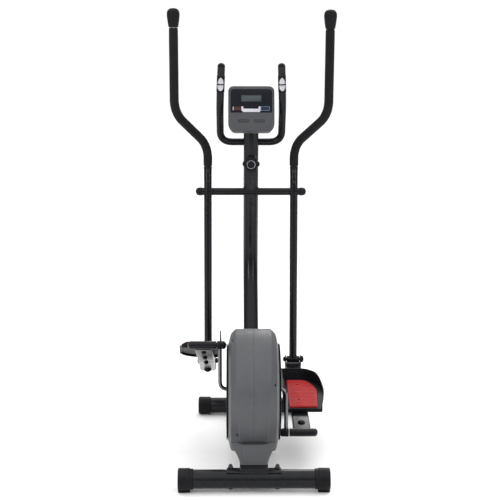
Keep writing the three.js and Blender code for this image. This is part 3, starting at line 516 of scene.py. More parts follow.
def stretch_of(path, start, stop):
    """The part of a path between two distances along it."""
    made, travelled = [], 0.0
    for a, b in zip(path, path[1:]):
        run = (b - a).length
        for limit in (start, stop):
            if travelled < limit <= travelled + run:
                made.append(a.lerp(b, (limit - travelled) / run))
        if start < travelled + run < stop:
            made.append(b)
        travelled += run
    return made


def path_length(path):
    return sum((b - a).length for a, b in zip(path, path[1:]))


def subdivided(path, step):
    """A path with its long runs split, so that bumps and swells can follow it."""
    made = [path[0]]
    for a, b in zip(path, path[1:]):
        parts = max(1, round((b - a).length / step))
        made += [a.lerp(b, k / parts) for k in range(1, parts + 1)]
    return made


def clean_mesh(name, shape):
    mesh = bpy.data.meshes.new(name)
    mesh.from_pydata([tuple(p) for p in shape[0]], [], shape[1])
    work = bmesh.new()
    work.from_mesh(mesh)
    bmesh.ops.remove_doubles(work, verts=work.verts, dist=2e-6)
    bmesh.ops.dissolve_degenerate(work, dist=1e-6, edges=work.edges)
    bmesh.ops.recalc_face_normals(work, faces=work.faces)
    work.to_mesh(mesh)
    work.free()
    return mesh


def combined(shape, tools, operation):
    """A shape joined with others or cut by them."""
    made = []
    for k, part in enumerate([shape, *tools]):
        item = bpy.data.objects.new(f"work_{k}", clean_mesh("work", part))
        bpy.context.scene.collection.objects.link(item)
        made.append(item)
    for tool in made[1:]:
        modifier = made[0].modifiers.new("combine", "BOOLEAN")
        modifier.operation = operation
        modifier.solver = "MANIFOLD"
        modifier.object = tool
    bpy.context.view_layer.update()
    result = made[0].evaluated_get(bpy.context.evaluated_depsgraph_get()).to_mesh()
    points = [v.co.copy() for v in result.vertices]
    faces = [tuple(p.vertices) for p in result.polygons]
    for item in made:
        bpy.data.objects.remove(item)
    return points, faces


def joined(shape, *others):
    return combined(shape, others, "UNION")


def carved(shape, *tools):
    return combined(shape, tools, "DIFFERENCE")


def add_piece(name, shape, finish, body="frame", stands_for=(), slot=None, sharp=36):
    mesh = clean_mesh(name, shape)
    mesh.polygons.foreach_set("use_smooth", [True] * len(mesh.polygons))
    mesh.set_sharp_from_angle(angle=math.radians(sharp))
    piece = bpy.data.objects.new(name, mesh)
    bpy.context.scene.collection.objects.link(piece)
    mesh.materials.append(FINISH[finish])
    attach(piece, body)
    if stands_for:
        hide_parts(*([stands_for] if isinstance(stands_for, str) else stands_for))
    slot = slot or finish
    return piece


def cylinder_between(a, b, radius, sides=32):
    length = (Vector(b) - Vector(a)).length
    return moved(
        turned([(0, 0), (0, radius), (length, radius), (length, 0)], sides),
        pointing(Vector(b) - Vector(a), a),
    )


def bar_across(centre, reach, radius, sides=32):
    """A round bar along X, centred on a place."""
    out = Vector((reach, 0, 0))
    return cylinder_between(centre - out, centre + out, radius, sides)


def weld_bead(path, radius=0.0022):
    """A weld's rippled bead along a line."""
    fine = subdivided([Vector(p) for p in path], 0.0012)
    length = path_length(fine)

    def ripple(share):
        return 1 + 0.16 * math.sin(share * length / 0.0032 * 2 * math.pi)

    return swept(fine, circle(radius, 10), swell=ripple)


# ---------------------------------------------------------------- base
STABILIZER_RADIUS = 0.030
STABILIZER_WALL = 0.0025
SADDLE_OUTER = 0.035
SADDLE_ARC = 36
SADDLE_HALF = 0.086
BOLT_X = middle("rear_bolt_right").x


def saddle_plate(axis):
    """The curved plate that lies on a stabilizer, with rounded corners and edges."""
    outline = arc((axis.y, axis.z), SADDLE_OUTER, 90 - SADDLE_ARC, 90 + SADDLE_ARC, 28)
    outline += arc((axis.y, axis.z), STABILIZER_RADIUS + 0.0004, 90 + SADDLE_ARC, 90 - SADDLE_ARC, 28)
    return moved(slab(outline, -SADDLE_HALF, SADDLE_HALF, 0.0011), SIDE_VIEW)


def build_main_frame():
    spine_low, spine_high = 0.078, 0.118
    spine_start, neck_top = 0.0295, 0.080
    spine_section = rounded_box(0.050, spine_high - spine_low, 0.006)
    spine = slab(spine_section, REAR_AXIS.y + spine_start, FRONT_AXIS.y + 0.025, 0.0006)
    spine = shifted(moved(spine, FRONT_VIEW), 0, 0, (spine_low + spine_high) / 2)
    neck = slab(rounded_box(0.090, 0.071, 0.006), REAR_AXIS.z + 0.006, neck_top, 0.003)
    neck = shifted(neck, 0, REAR_AXIS.y + 0.016, 0)
    block = slab(rounded_box(0.049, 0.050, 0.005), FRONT_AXIS.z + 0.018, spine_low + 0.004, 0.001)
    block = shifted(block, 0, FRONT_AXIS.y, 0)
    upright = slab(rounded_box(0.040, 0.040, 0.005), 0.108, CRANK_AXIS.z - 0.010, 0.0005)
    upright = shifted(upright, 0, CRANK_AXIS.y, 0)
    shell = lathe([(-0.030, 0), (-0.030, 0.022), (0.030, 0.022), (0.030, 0)], 0.001, 2)
    shell = shifted(shell, 0, CRANK_AXIS.y, CRANK_AXIS.z)
    fork_top = FLYWHEEL_AXIS.z + 0.020
    fork_base = slab(rounded_box(0.130, 0.044, 0.004), 0.112, spine_high - 0.0002, 0.0005)
    fork_base = shifted(fork_base, 0, FLYWHEEL_AXIS.y, 0)
    plate = slab(rounded_box(0.044, fork_top - 0.113, 0.006), 0.060, 0.065, 0.0008)
    plate = shifted(moved(plate, SIDE_VIEW), 0, FLYWHEEL_AXIS.y, (fork_top + 0.113) / 2)
    plates = [sided(plate, sign) for _, sign in SIDES]
    foot, elbow = POST_FOOT, POST_ELBOW
    stub = swept([foot, foot.lerp(elbow, 0.43)], circle(0.034, 48), 0.0012)
    stub_bore = swept([foot.lerp(elbow, 0.318), elbow], circle(0.0298, 48))
    axle_bore = bar_across(FLYWHEEL_AXIS, 0.09, 0.0086)
    crank_bore = bar_across(CRANK_AXIS, 0.09, 0.0092)
    tubes = [bar_across(a, 0.3, 0.0304, 64) for a in (REAR_AXIS, FRONT_AXIS)]
    saddles = [saddle_plate(axis) for axis in (REAR_AXIS, FRONT_AXIS)]
    solid = joined(spine, neck, block, *saddles, upright, shell, fork_base, *plates, stub)
    solid = carved(solid, *tubes, axle_bore, crank_bore, stub_bore)
    add_piece("welded_frame", solid, "paint_black", stands_for="main_frame")
    beads = []
    bottom = spine_low + 0.0005
    for axis, half, depth in ((REAR_AXIS, 0.045, 0.020), (FRONT_AXIS, 0.0245, 0.025)):
        height = math.sqrt(SADDLE_OUTER**2 - depth**2)
        y, z = axis.y - depth, axis.z + height
        beads.append(weld_bead([(-half, y, z), (half, y, z)]))
    front_end = FRONT_AXIS.y + 0.025
    beads.append(weld_bead([(-0.0245, front_end, bottom), (0.0245, front_end, bottom)]))
    add_piece("frame_welds", merged(*beads), "paint_black")


def build_stabilizer(name, axis):
    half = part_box(name)[1].x
    inner = STABILIZER_RADIUS - STABILIZER_WALL
    tube = sleeve(-half, half, inner, STABILIZER_RADIUS, 0.0008, 2, 72)
    add_piece(name + "_tube", shifted(tube, *axis), "paint_black", stands_for=name)


def rear_cap(outer, inner):
    """A round end cap with a flat foot, its outer edge rounded."""
    radius, foot = 0.0346, 0.010
    turn = math.degrees(math.asin(foot / radius))
    outline = arc((0, 0), radius, -90 + turn, 270 - turn, 64)
    drop = -REAR_AXIS.z + CAD_LOW.z
    outline += [(-foot, drop), (foot, drop)]
    outline = softened(outline, [0.0] * 65 + [0.003, 0.003], 4, closed=True)
    body = slab(outline, inner, outer, 0.0032, 5)
    collar = softened(
        [(inner - 0.010, 0), (inner - 0.010, 0.0325), (inner + 0.004, 0.0325), (inner + 0.004, 0)], 0.0012, 3
    )
    groove_depth = 0.0007
    grooves = []
    for k in range(3):
        x = inner + 0.010 + k * 0.005
        grooves.append(sleeve(x, x + 0.0012, radius - groove_depth, radius + 0.0019, sides=64))
    shaped = carved(moved(body, SIDE_VIEW), *grooves)
    return shifted(joined(shaped, turned(collar, 64)), 0, REAR_AXIS.y, REAR_AXIS.z)


def front_cap(outer, inner):
    radius = 0.034
    profile = [(inner, 0), (inner, radius - 0.002), (inner + 0.002, radius)]
    for k in range(3):
        x = inner + 0.012 + 0.005 * k
        profile += [(x, radius), (x, radius - 0.0007), (x + 0.0012, radius - 0.0007), (x + 0.0012, radius)]
    profile += [
        (outer - 0.004, radius), (outer, radius - 0.005), (outer, 0.014), (outer - 0.001, 0.013),
        (outer - 0.001, 0),
    ]
    return shifted(lathe(profile, 0.0012, 3, 64), 0, FRONT_AXIS.y, FRONT_AXIS.z)


def build_base():
    build_stabilizer("rear_stabilizer", REAR_AXIS)
    build_stabilizer("front_stabilizer", FRONT_AXIS)
    for name, sign in SIDES:
        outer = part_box("rear_foot_cap_right")[1].x
        add_piece(
            "rear_cap_" + name, sided(rear_cap(outer, outer - 0.038), sign), "plastic_black",
            stands_for="rear_foot_cap_" + name,
        )
        low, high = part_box("front_foot_cap_right")
        add_piece(
            "front_cap_" + name, sided(front_cap(high.x, low.x), sign), "plastic_black",
            stands_for="front_foot_cap_" + name,
        )
        for end, axis in (("rear", REAR_AXIS), ("front", FRONT_AXIS)):
            bolt, nut = stabilizer_bolt()
            place = Matrix.Translation((sign * BOLT_X, axis.y, axis.z))
            stands_for = "rear_bolt_" + name if end == "rear" else ()
            add_piece(
                f"{end}_cap_nut_{name}", moved(nut, place), "dark_steel", stands_for=stands_for, slot="zinc"
            )
            add_piece(f"{end}_bolt_{name}", moved(bolt, place), "dark_steel")


def stabilizer_bolt():
    """A carriage bolt from below, and its washer and domed nut on the saddle, about a vertical axis."""
    top = SADDLE_OUTER + 0.0003
    upright = Matrix.Rotation(-math.pi / 2, 4, "Y")
    low = -STABILIZER_RADIUS
    head = [
        (low - 0.0036, 0), (low - 0.0032, 0.0045), (low - 0.0018, 0.0078), (low - 0.0004, 0.0088),
        (low - 0.0004, 0.004),
    ]
    bolt = lathe(head + [(top + 0.004, 0.004), (top + 0.004, 0)], 0.0006, 2, 32)
    washer = sleeve(top, top + 0.0016, 0.0042, 0.0092, 0.0005, 2, 40)
    base = moved(
        slab(hexagon(0.0076), top + 0.0018, top + 0.0078, 0.0008), Matrix.Rotation(math.pi / 2, 4, "Y")
    )
    base = mirrored(base) if base[0][0].x < 0 else base
    nut = [(top + 0.0074, 0), (top + 0.0074, 0.0064)]
    nut += dome(top + 0.0078, 0.0068, 0.0063, 8)
    parts = merged(washer, base, turned(nut, 32))
    return moved(bolt, upright), moved(parts, upright)


# ---------------------------------------------------------------- housing
DRUM_RADIUS = 0.2075
LOBE_RADIUS = 0.148
SHELL_WALL = 0.003
SEAM_HALF = 0.00007
CHAMFER_TOP, CHAMFER_DROP = 0.0028, 0.0117  # where the chamfer starts below the rim, and how far it falls
CHAMFER_START, CHAMFER_END = 0.0022, 0.0725  # its start past the flat band, and its end from the middle plane


def housing_outline(depth):
    """(y, z, z of the outward direction) round the drum and the flywheel lobe, moved in by a depth."""
    between = FLYWHEEL_AXIS - DRUM_CENTRE
    base = math.degrees(math.atan2(between.z, between.y))
    spread = math.degrees(math.acos((DRUM_RADIUS - LOBE_RADIUS) / between.length))
    made = []
    for axis, radius, start, stop, steps in (
        (DRUM_CENTRE, DRUM_RADIUS - depth, base + spread, base - spread + 360, 120),
        (FLYWHEEL_AXIS, LOBE_RADIUS - depth, base - spread, base + spread, 56),
    ):
        for i in range(steps + 1):
            a = math.radians(start + (stop - start) * i / steps)
            made.append((axis.y + radius * math.cos(a), axis.z + radius * math.sin(a), math.sin(a)))
    return made


def band_half(up):
    """Half the width of the flat rim band: wide on top, narrow underneath."""
    return 0.0503 + 0.010 * up - 0.0023 * up * up - 0.006 * max(0.0, -up) ** 3


def chamfer_x(up, share):
    """The distance from the middle plane at a share of the way down the chamfer."""
    start = band_half(up) + CHAMFER_START
    return start + (CHAMFER_END - start) * share**0.9


def shell_ring(depth, x_of, inside=0.0):
    return [Vector((x_of(up), y, z)) for y, z, up in housing_outline(depth + inside)]


def shell_levels():
    """(depth, x function) from the seam to the side face."""
    lip = SEAM_HALF + 0.0004
    bend = (0.0, 0.15, 0.35, 0.6, 1.0)
    levels = [(0.0004, lambda up: SEAM_HALF), (0.0, lambda up: lip)]
    levels += [(0.0, lambda up: band_half(up) - 0.0010), (0.0004, lambda up: band_half(up) + 0.0003)]
    for share in bend:
        levels.append((CHAMFER_TOP + CHAMFER_DROP * share, lambda up, s=share: chamfer_x(up, s)))
    sides = ((0.0195, 0.0752), (0.028, 0.0776), (0.040, 0.0802), (0.054, 0.0838), (0.058, 0.0848))
    levels += [(depth, lambda up, x=x: x) for depth, x in sides]
    return levels


def housing_half():
    inner = [
        shell_ring(depth, (lambda up, f=f: max(SEAM_HALF, f(up) - SHELL_WALL * 0.9)), SHELL_WALL)
        for depth, f in shell_levels()[2:]
    ]
    first = shell_ring(SHELL_WALL, lambda up: SEAM_HALF)
    outer = [shell_ring(depth, f) for depth, f in shell_levels()]
    return stack(list(reversed(inner)) + [first] + outer)


# Screw recesses: the side, the angle from the rear upwards, and the share of the way down the chamfer.
SCREWS = (
    ("left", 71, 0.6),
    ("right", 21.5, 0.6),
    ("left", -27, 0.2),
    ("left", 128, 0.6),
    ("right", 118, 0.6),
    ("right", -100, 0.4),
)


def screw_place(side_sign, angle, share):
    """A screw recess on the chamfer of a shell: its place, and its direction outwards."""
    a = math.radians(180 - angle)
    out = Vector((0, math.cos(a), math.sin(a)))
    place = DRUM_CENTRE + out * (DRUM_RADIUS - CHAMFER_TOP - CHAMFER_DROP * share)
    place.x = side_sign * chamfer_x(out.z, share)
    direction = (Vector((side_sign * 0.75, 0, 0)) + out * 0.66).normalized()
    return place, direction


def build_housing():
    half = housing_half()
    crank_hole = bar_across(CRANK_AXIS, 0.2, 0.024, 48)
    slot = slab(rounded_box(0.0525, 0.0425, 0.003), REAR_AXIS.y - 0.06, FRONT_AXIS.y, 0.0)
    slot = shifted(moved(slot, FRONT_VIEW), 0, 0, 0.098)
    heads = []
    for name, sign in SIDES:
        pits = []
        for side, angle, share in SCREWS:
            if side != name:
                continue
            place, direction = screw_place(sign, angle, share)
            pits.append(cylinder_between(place - direction * 0.0032, place + direction * 0.02, 0.0046, 24))
            head = [(0, 0), (0, 0.0038), (0.0012, 0.0036), (0.002, 0.0022), (0.0022, 0.0008), (0.0012, 0)]
            heads.append(moved(turned(head, 24), pointing(direction, place - direction * 0.0034)))
        shell = carved(sided(half, sign), crank_hole, slot, *pits)
        add_piece("housing_shell_" + name, shell, "plastic_grey", stands_for="housing_" + name, sharp=24)
        cover_low, cover_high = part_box("crank_cover_right")
        radius = cover_high.z - DRUM_CENTRE.z
        back, face = cover_low.x, cover_high.x
        profile = [(back, 0), (back, radius - 0.001), (back + 0.001, radius)]
        profile += [(face - 0.0008, radius - 0.0006), (face, radius - 0.003)]
        for k in range(3):
            r = radius - 0.016 - 0.030 * k
            profile += [
                (face, r), (face - 0.0008, r - 0.0006), (face - 0.0008, r - 0.0020), (face, r - 0.0026)
            ]
        profile += [(face, 0.036), (face - 0.0005, 0.034), (face - 0.0005, 0)]
        axle_room = cylinder_between(CRANK_AXIS, CRANK_AXIS + Vector((0.2, 0, 0)), 0.0155, 48)
        cover = carved(shifted(turned(profile, 96), *DRUM_CENTRE), axle_room)
        add_piece(
            "side_cover_" + name, sided(cover, sign), "plastic_black", stands_for="crank_cover_" + name
        )
    add_piece("housing_screws", merged(*heads), "dark_steel")


def build_tail_cover():
    """The low cover from the drum down to the rear neck: a flat face between two flared chamfers."""
    levels = 16
    low, high = 0.0815, 0.1425
    back = REAR_AXIS.y + 0.149
    rings = []
    for k in range(levels + 1):
        rise = k / levels
        flare = rise * rise * (3 - 2 * rise)
        face_y = REAR_AXIS.y + 0.0165 + 0.0140 * rise
        side_y = face_y + 0.012 + 0.034 * flare
        face = 0.0375 - 0.008 * rise
        side = 0.0452 + 0.0287 * flare
        outline = [
            (-side, back), (-side, side_y), (-face, face_y), (face, face_y), (side, side_y), (side, back)
        ]
        outline = softened(outline, [0.002, 0.005, 0.002, 0.002, 0.005, 0.002], 4, closed=True)
        rings.append([Vector((p[0], p[1], low + (high - low) * rise)) for p in outline])
    edge = [(x_of(-0.6) + 0.0002, DRUM_RADIUS - depth + 0.0003) for depth, x_of in shell_levels()[2:]]
    profile = [(-x, r) for x, r in [(edge[-1][0], 0)] + edge[::-1]] + edge + [(edge[-1][0], 0)]
    drum = shifted(turned(profile, 160), *DRUM_CENTRE)
    room = shifted(slab(rounded_box(0.054, 0.200, 0.004), 0.06, 0.119, 0.0), 0, REAR_AXIS.y + 0.127, 0)
    add_piece(
        "tail_shell", carved(stack(rings), drum, room), "plastic_grey", stands_for="tail_cover", sharp=24
    )


# ---------------------------------------------------------------- crank and drive
def build_crank():
    crank_side, bend = 0.110, 0.026
    throw = abs(CRANK_PIN["left"].z - CRANK_AXIS.z)
    corners = [(-crank_side, 0, throw), (-crank_side, 0, 0), (crank_side, 0, 0), (crank_side, 0, -throw)]
    rod_path = rounded_path(corners, bend, 14)
    rod = swept(rod_path, circle(0.0065, 32))
    eye = softened(
        [
            (0.1033, 0), (0.1033, 0.012), (0.105, 0.014), (0.1175, 0.014), (0.1195, 0.012), (0.1195, 0.007),
            (0.1185, 0.0065), (0.1185, 0),
        ],
        0.0009, 3,
    )
    eyes = [shifted(sided(turned(eye, 40), sign), 0, 0, -sign * throw) for _, sign in SIDES]
    add_piece("crank_rod", shifted(rod, *CRANK_AXIS), "chrome", "crank", stands_for="crank")
    add_piece("crank_eyes", shifted(merged(*eyes), *CRANK_AXIS), "plastic_black", "crank")
    for name, sign in SIDES:
        low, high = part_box("crank_nut_cap_right")
        profile = [(low.x, 0)]
        profile += [
            (low.x + (high.x - low.x - 0.003) * (1 - math.cos(a)), 0.014 * math.sin(a))
            for a in quarter(10)[1:]
        ]
        profile += [(high.x - 0.0004, 0.014), (high.x, 0.0134), (high.x, 0)]
        cap = shifted(turned(profile, 40), 0, CRANK_PIN[name].y, CRANK_PIN[name].z)
        add_piece(
            "crank_cap_" + name, sided(cap, sign), "plastic_black", "crank",
            stands_for="crank_nut_cap_" + name,
        )


# ---------------------------------------------------------------- post, axle and pulse bar
def side_place(y, z, x=0.0):
    """A place given from the rear stabilizer's axis along Y, and from the floor."""
    return Vector((x, REAR_AXIS.y + y, z))


POST_RADIUS = 0.029
POST_FOOT = side_place(0.600, 0.100)
POST_ELBOW = side_place(0.940, 0.575)
POST_TOP = side_place(0.818, 1.141)
POST_SPLIT = 0.32
CONSOLE_FRAME = Matrix.Translation(side_place(0.783, 1.180)) @ Matrix.Rotation(math.radians(-20), 4, "X")
CONSOLE_BACK = 0.027


def console_slab(outline, low, high, edge=0.001, steps=3):
    """A slab drawn on the console's face: the outline in (x, z), from one depth to another."""
    return moved(slab(outline, low, high, edge, steps), CONSOLE_FRAME @ FRONT_VIEW)


def offset(outline, x, y):
    return [(p[0] + x, p[1] + y) for p in outline]


def console_block(x, z, width, height, radius, low, high, edge=0.001, steps=3):
    """A rounded rectangle on the console's face, centred on (x, z), from one depth to another."""
    return console_slab(offset(rounded_box(width, height, radius), x, z), low, high, edge, steps)


def build_post():
    path = rounded_path([POST_FOOT.lerp(POST_ELBOW, POST_SPLIT), POST_ELBOW, POST_TOP], 0.125, 30)
    room = console_slab(rounded_box(0.3, 0.3, 0.01), -0.15, CONSOLE_BACK + 0.0003, 0.0)
    bore = bar_across(ARM_PIVOT, 0.05, 0.0148, 40)
    tube = carved(swept(path, circle(POST_RADIUS - 0.0006, 64), 0.0008), room, bore)
    plate = console_block(
        0, -0.016, 0.084, 0.120, 0.008, CONSOLE_BACK + 0.0004, CONSOLE_BACK + 0.0044, 0.0008
    )
    add_piece("post_tube", tube, "paint_black", stands_for="front_post")
    away = CONSOLE_FRAME.to_3x3() @ Vector((0, 1, 0))
    screws = []
    for x in (-0.032, 0.032):
        for z in (-0.062, 0.030):
            place = CONSOLE_FRAME @ Vector((x, CONSOLE_BACK + 0.0042, z))
            head = [(0, 0), (0, 0.0042), (0.0012, 0.0040), (0.0024, 0.0022), (0.0026, 0)]
            screws.append(moved(turned(head, 24), pointing(away, place)))
    add_piece("console_bracket", plate, "paint_black")
    add_piece("bracket_screws", merged(*screws), "zinc")
    stub_end = POST_FOOT.lerp(POST_ELBOW, 0.43)
    along = (POST_ELBOW - POST_FOOT).normalized()
    clamp_screws = []
    for sign in (-1, 1):
        for back in (0.018, 0.042):
            place = stub_end - along * back + Vector((sign * 0.0335, 0, 0))
            facing = pointing((sign, 0, 0), place) @ Matrix.Rotation(math.pi / 2, 4, "Y")
            clamp_screws.append(moved(slab(hexagon(0.0075), 0, 0.005, 0.0008), facing))
    add_piece("post_bolts", merged(*clamp_screws), "zinc")


def build_pivot():
    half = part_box("pivot_axle")[1].x
    profile = [
        (-half, 0), (-half, 0.008), (-0.143, 0.008), (-0.143, 0.0144), (0.143, 0.0144), (0.143, 0.008),
        (half, 0.008), (half, 0),
    ]
    axle = lathe(profile, 0.0008, 3, 56)
    add_piece("pivot_shaft", shifted(axle, *ARM_PIVOT), "paint_black", stands_for="pivot_axle")
    beads = [weld_bead(axle_saddle(sign), 0.002) for _, sign in SIDES]
    add_piece("pivot_welds", merged(*beads), "paint_black")
    for name, sign in SIDES:
        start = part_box("pivot_cap_right")[0].x
        profile = [(start, 0), (start, 0.0155), (start + 0.011, 0.0155)]
        profile += dome(start + 0.012, 0.0124, 0.0150, 10)
        cap = shifted(turned(profile, 48), 0, ARM_PIVOT.y, ARM_PIVOT.z)
        add_piece("axle_cap_" + name, sided(cap, sign), "plastic_black", stands_for="pivot_cap_" + name)


def axle_saddle(sign):
    """The line where the axle meets the post, on one side."""
    radius = 0.0148
    lean = Vector((0, POST_TOP.y - POST_ELBOW.y, POST_TOP.z - POST_ELBOW.z)).normalized()
    over = Vector((0, lean.z, -lean.y))
    middle_of_post = POST_ELBOW + lean * (ARM_PIVOT - POST_ELBOW).dot(lean)
    shift = (ARM_PIVOT - middle_of_post).dot(over)
    path = []
    for i in range(49):
        a = 2 * math.pi * i / 48
        across, along = radius * math.cos(a), radius * math.sin(a)
        reach = math.sqrt(max(0.0, POST_RADIUS**2 - (shift + across) ** 2))
        path.append(ARM_PIVOT + over * across + lean * along + Vector((sign * (reach + 0.0004), 0, 0)))
    return path


PULSE_RADIUS = 0.014
PULSE_CROSSING = side_place(0.880, 1.061, 0.117)
PULSE_KNEE = side_place(0.790, 1.205, 0.117)
PULSE_END = side_place(0.752, 1.355, 0.1105)


def build_pulse_bar():
    upright = (PULSE_END - PULSE_KNEE).normalized()
    plug_rise = 0.0118
    half = [PULSE_END - upright * plug_rise, PULSE_KNEE, PULSE_CROSSING]
    corners = [Vector((-p.x, p.y, p.z)) for p in half] + list(reversed(half))
    path = rounded_path(corners, 0.048, 16)
    add_piece(
        "pulse_bar", swept(path, circle(PULSE_RADIUS, 40)), "paint_black", stands_for="pulse_handlebar"
    )
    plug = [(-0.016, 0), (-0.016, 0.0117), (-plug_rise, 0.0117), (-plug_rise, 0.0136)]
    plug += dome(-plug_rise + 0.0006, plug_rise - 0.0006, 0.0138, 10)
    carrier = sleeve(-0.031, 0.031, 0.0141, 0.0149, 0.0004)
    carrier = moved(carrier, Matrix.Rotation(-math.pi / 2, 4, "Y"))
    lean = Vector((0, 0, 1)).rotation_difference(upright).to_matrix().to_4x4()
    place = Matrix.Translation(PULSE_KNEE.lerp(PULSE_END, 0.5)) @ lean
    plates = {
        "upper": ((0.0125, 0.0025), (0.009, 0.018), (0, 0.027)),
        "lower": ((0.0125, -0.0025), (0.011, -0.020), (0, -0.024)),
    }
    for name, sign in SIDES:
        add_piece(
            "pulse_plug_" + name, sided(moved(turned(plug, 40), pointing(upright, PULSE_END)), sign),
            "plastic_black",
        )
        add_piece("sensor_carrier_" + name, sided(moved(carrier, place), sign), "plastic_black")
        for level, curve in plates.items():
            plate = sided(moved(wrapped(curve), place), sign)
            add_piece(
                f"sensor_plate_{level}_{name}", plate, "sensor_steel",
                stands_for=f"pulse_sensor_{level}_{name}",
            )
    add_piece("pulse_clamp", clamp_shape(), "paint_black")


def curve_run(points, steps=10):
    """A quadratic curve through (start, pull, end)."""
    a, b, c = (Vector(p) for p in points)
    return [a * (1 - t) ** 2 + b * (2 * t * (1 - t)) + c * t**2 for t in (k / steps for k in range(steps))]


def wrapped(curve):
    """A thin plate round a bar along Z, on its -Y side. The curve is its edge as (half width, height)."""
    inner, outer, columns = 0.0151, 0.0163, 14
    rings = []
    for half, height in curve_run(curve, 12) + [Vector((0.0003, curve[2][1]))]:
        turn = max(half, 0.0003) / inner * 1.18
        shares = [2 * k / columns - 1 for k in range(columns + 1)]
        ring = [(turn * u, outer - 0.0004 * abs(u) ** 6) for u in shares] + [
            (turn * u, inner)
            for u in reversed(shares)
        ]
        rings.append([Vector((radius * math.sin(a), -radius * math.cos(a), height)) for a, radius in ring])
    return stack(rings)


def clamp_shape():
    """The bent strap that holds the pulse bar's crossing to the far side of the post."""
    inner, thick, half = PULSE_RADIUS + 0.0004, 0.003, 0.022
    lean = (POST_TOP - POST_ELBOW).normalized()
    away = Vector((0, lean.z, -lean.y))
    outline = arc((0, 0), inner + thick, -100, 100, 28)
    outline += arc((0, 0), inner, 100, -100, 28)
    strap = slab(outline, -half, half, 0.0008)
    y_row = (away.y, lean.y, 0, PULSE_CROSSING.y)
    z_row = (away.z, lean.z, 0, PULSE_CROSSING.z)
    to_side = Matrix(((0, 0, 1, 0), y_row, z_row, (0, 0, 0, 1)))
    return moved(strap, to_side)


# ---------------------------------------------------------------- tension knob
TENSION_HEIGHT = 0.992


def tension_place():
    rise = (TENSION_HEIGHT - POST_ELBOW.z) / (POST_TOP.z - POST_ELBOW.z)
    along = (POST_TOP - POST_ELBOW).normalized()
    tilt = Matrix.Rotation(-math.atan2(along.y, along.z), 4, "X")
    return Matrix.Translation(POST_ELBOW.lerp(POST_TOP, rise)) @ tilt


def build_tension_knob():
    place = tension_place()
    back = pointing((0, -1, 0))
    face = POST_RADIUS + 0.0003
    base = lathe(
        [
            (face - 0.005, 0), (face - 0.005, 0.027), (face + 0.0015, 0.0262), (face + 0.007, 0.0225),
            (face + 0.0072, 0),
        ],
        0.0012, 3, 64,
    )
    post = cylinder_between((0, 0, -0.06), (0, 0, 0.06), POST_RADIUS + 0.0002, 96)
    add_piece(
        "tension_seat", moved(carved(moved(base, back), post), place), "plastic_black",
        stands_for="tension_base",
    )
    outline = []
    lobes, count = 6, 120
    for i in range(count):
        a = 2 * math.pi * i / count
        r = 0.0295 + 0.0032 * math.cos(lobes * a)
        outline.append((r * math.cos(a), r * math.sin(a)))
    star = moved(slab(outline, -face - 0.030, -face - 0.0075, 0.0042, 5), FRONT_VIEW)
    hub = lathe(
        [
            (face + 0.028, 0), (face + 0.028, 0.015), (face + 0.034, 0.0136), (face + 0.0348, 0.011),
            (face + 0.0342, 0),
        ],
        0.0009, 3, 48,
    )
    add_piece(
        "tension_star", moved(joined(star, moved(hub, back)), place), "plastic_black", "tension_knob",
        stands_for="tension_knob",
    )
    ring = sleeve(face + 0.0305, face + 0.0312, 0.0146, 0.0160, 0.0003, 2, 64)
    add_piece("tension_ring", moved(ring, place @ back), "silver", "tension_knob")


# ---------------------------------------------------------------- console
def console_outline(margin=0.0):
    """The console's outline seen from the front: round shoulders above, cut corners below."""
    half, foot, top, shoulder, bottom = 0.086, 0.070, 0.092, -0.063, -0.086
    corners = [
        (half, top), (-half, top), (-half, shoulder), (-foot, bottom), (foot, bottom), (half, shoulder)
    ]
    outline = softened(corners, [0.023, 0.023, 0.014, 0.012, 0.012, 0.014], 10, closed=True)
    return inset(outline, margin) if margin else outline


def console_shape(outline_at, levels):
    """A shape on the console's face through (depth, inset) levels of an outline."""
    rings = [[Vector((p[0], p[1], depth)) for p in outline_at(into)] for depth, into in levels]
    return moved(stack(rings), CONSOLE_FRAME @ FRONT_VIEW)


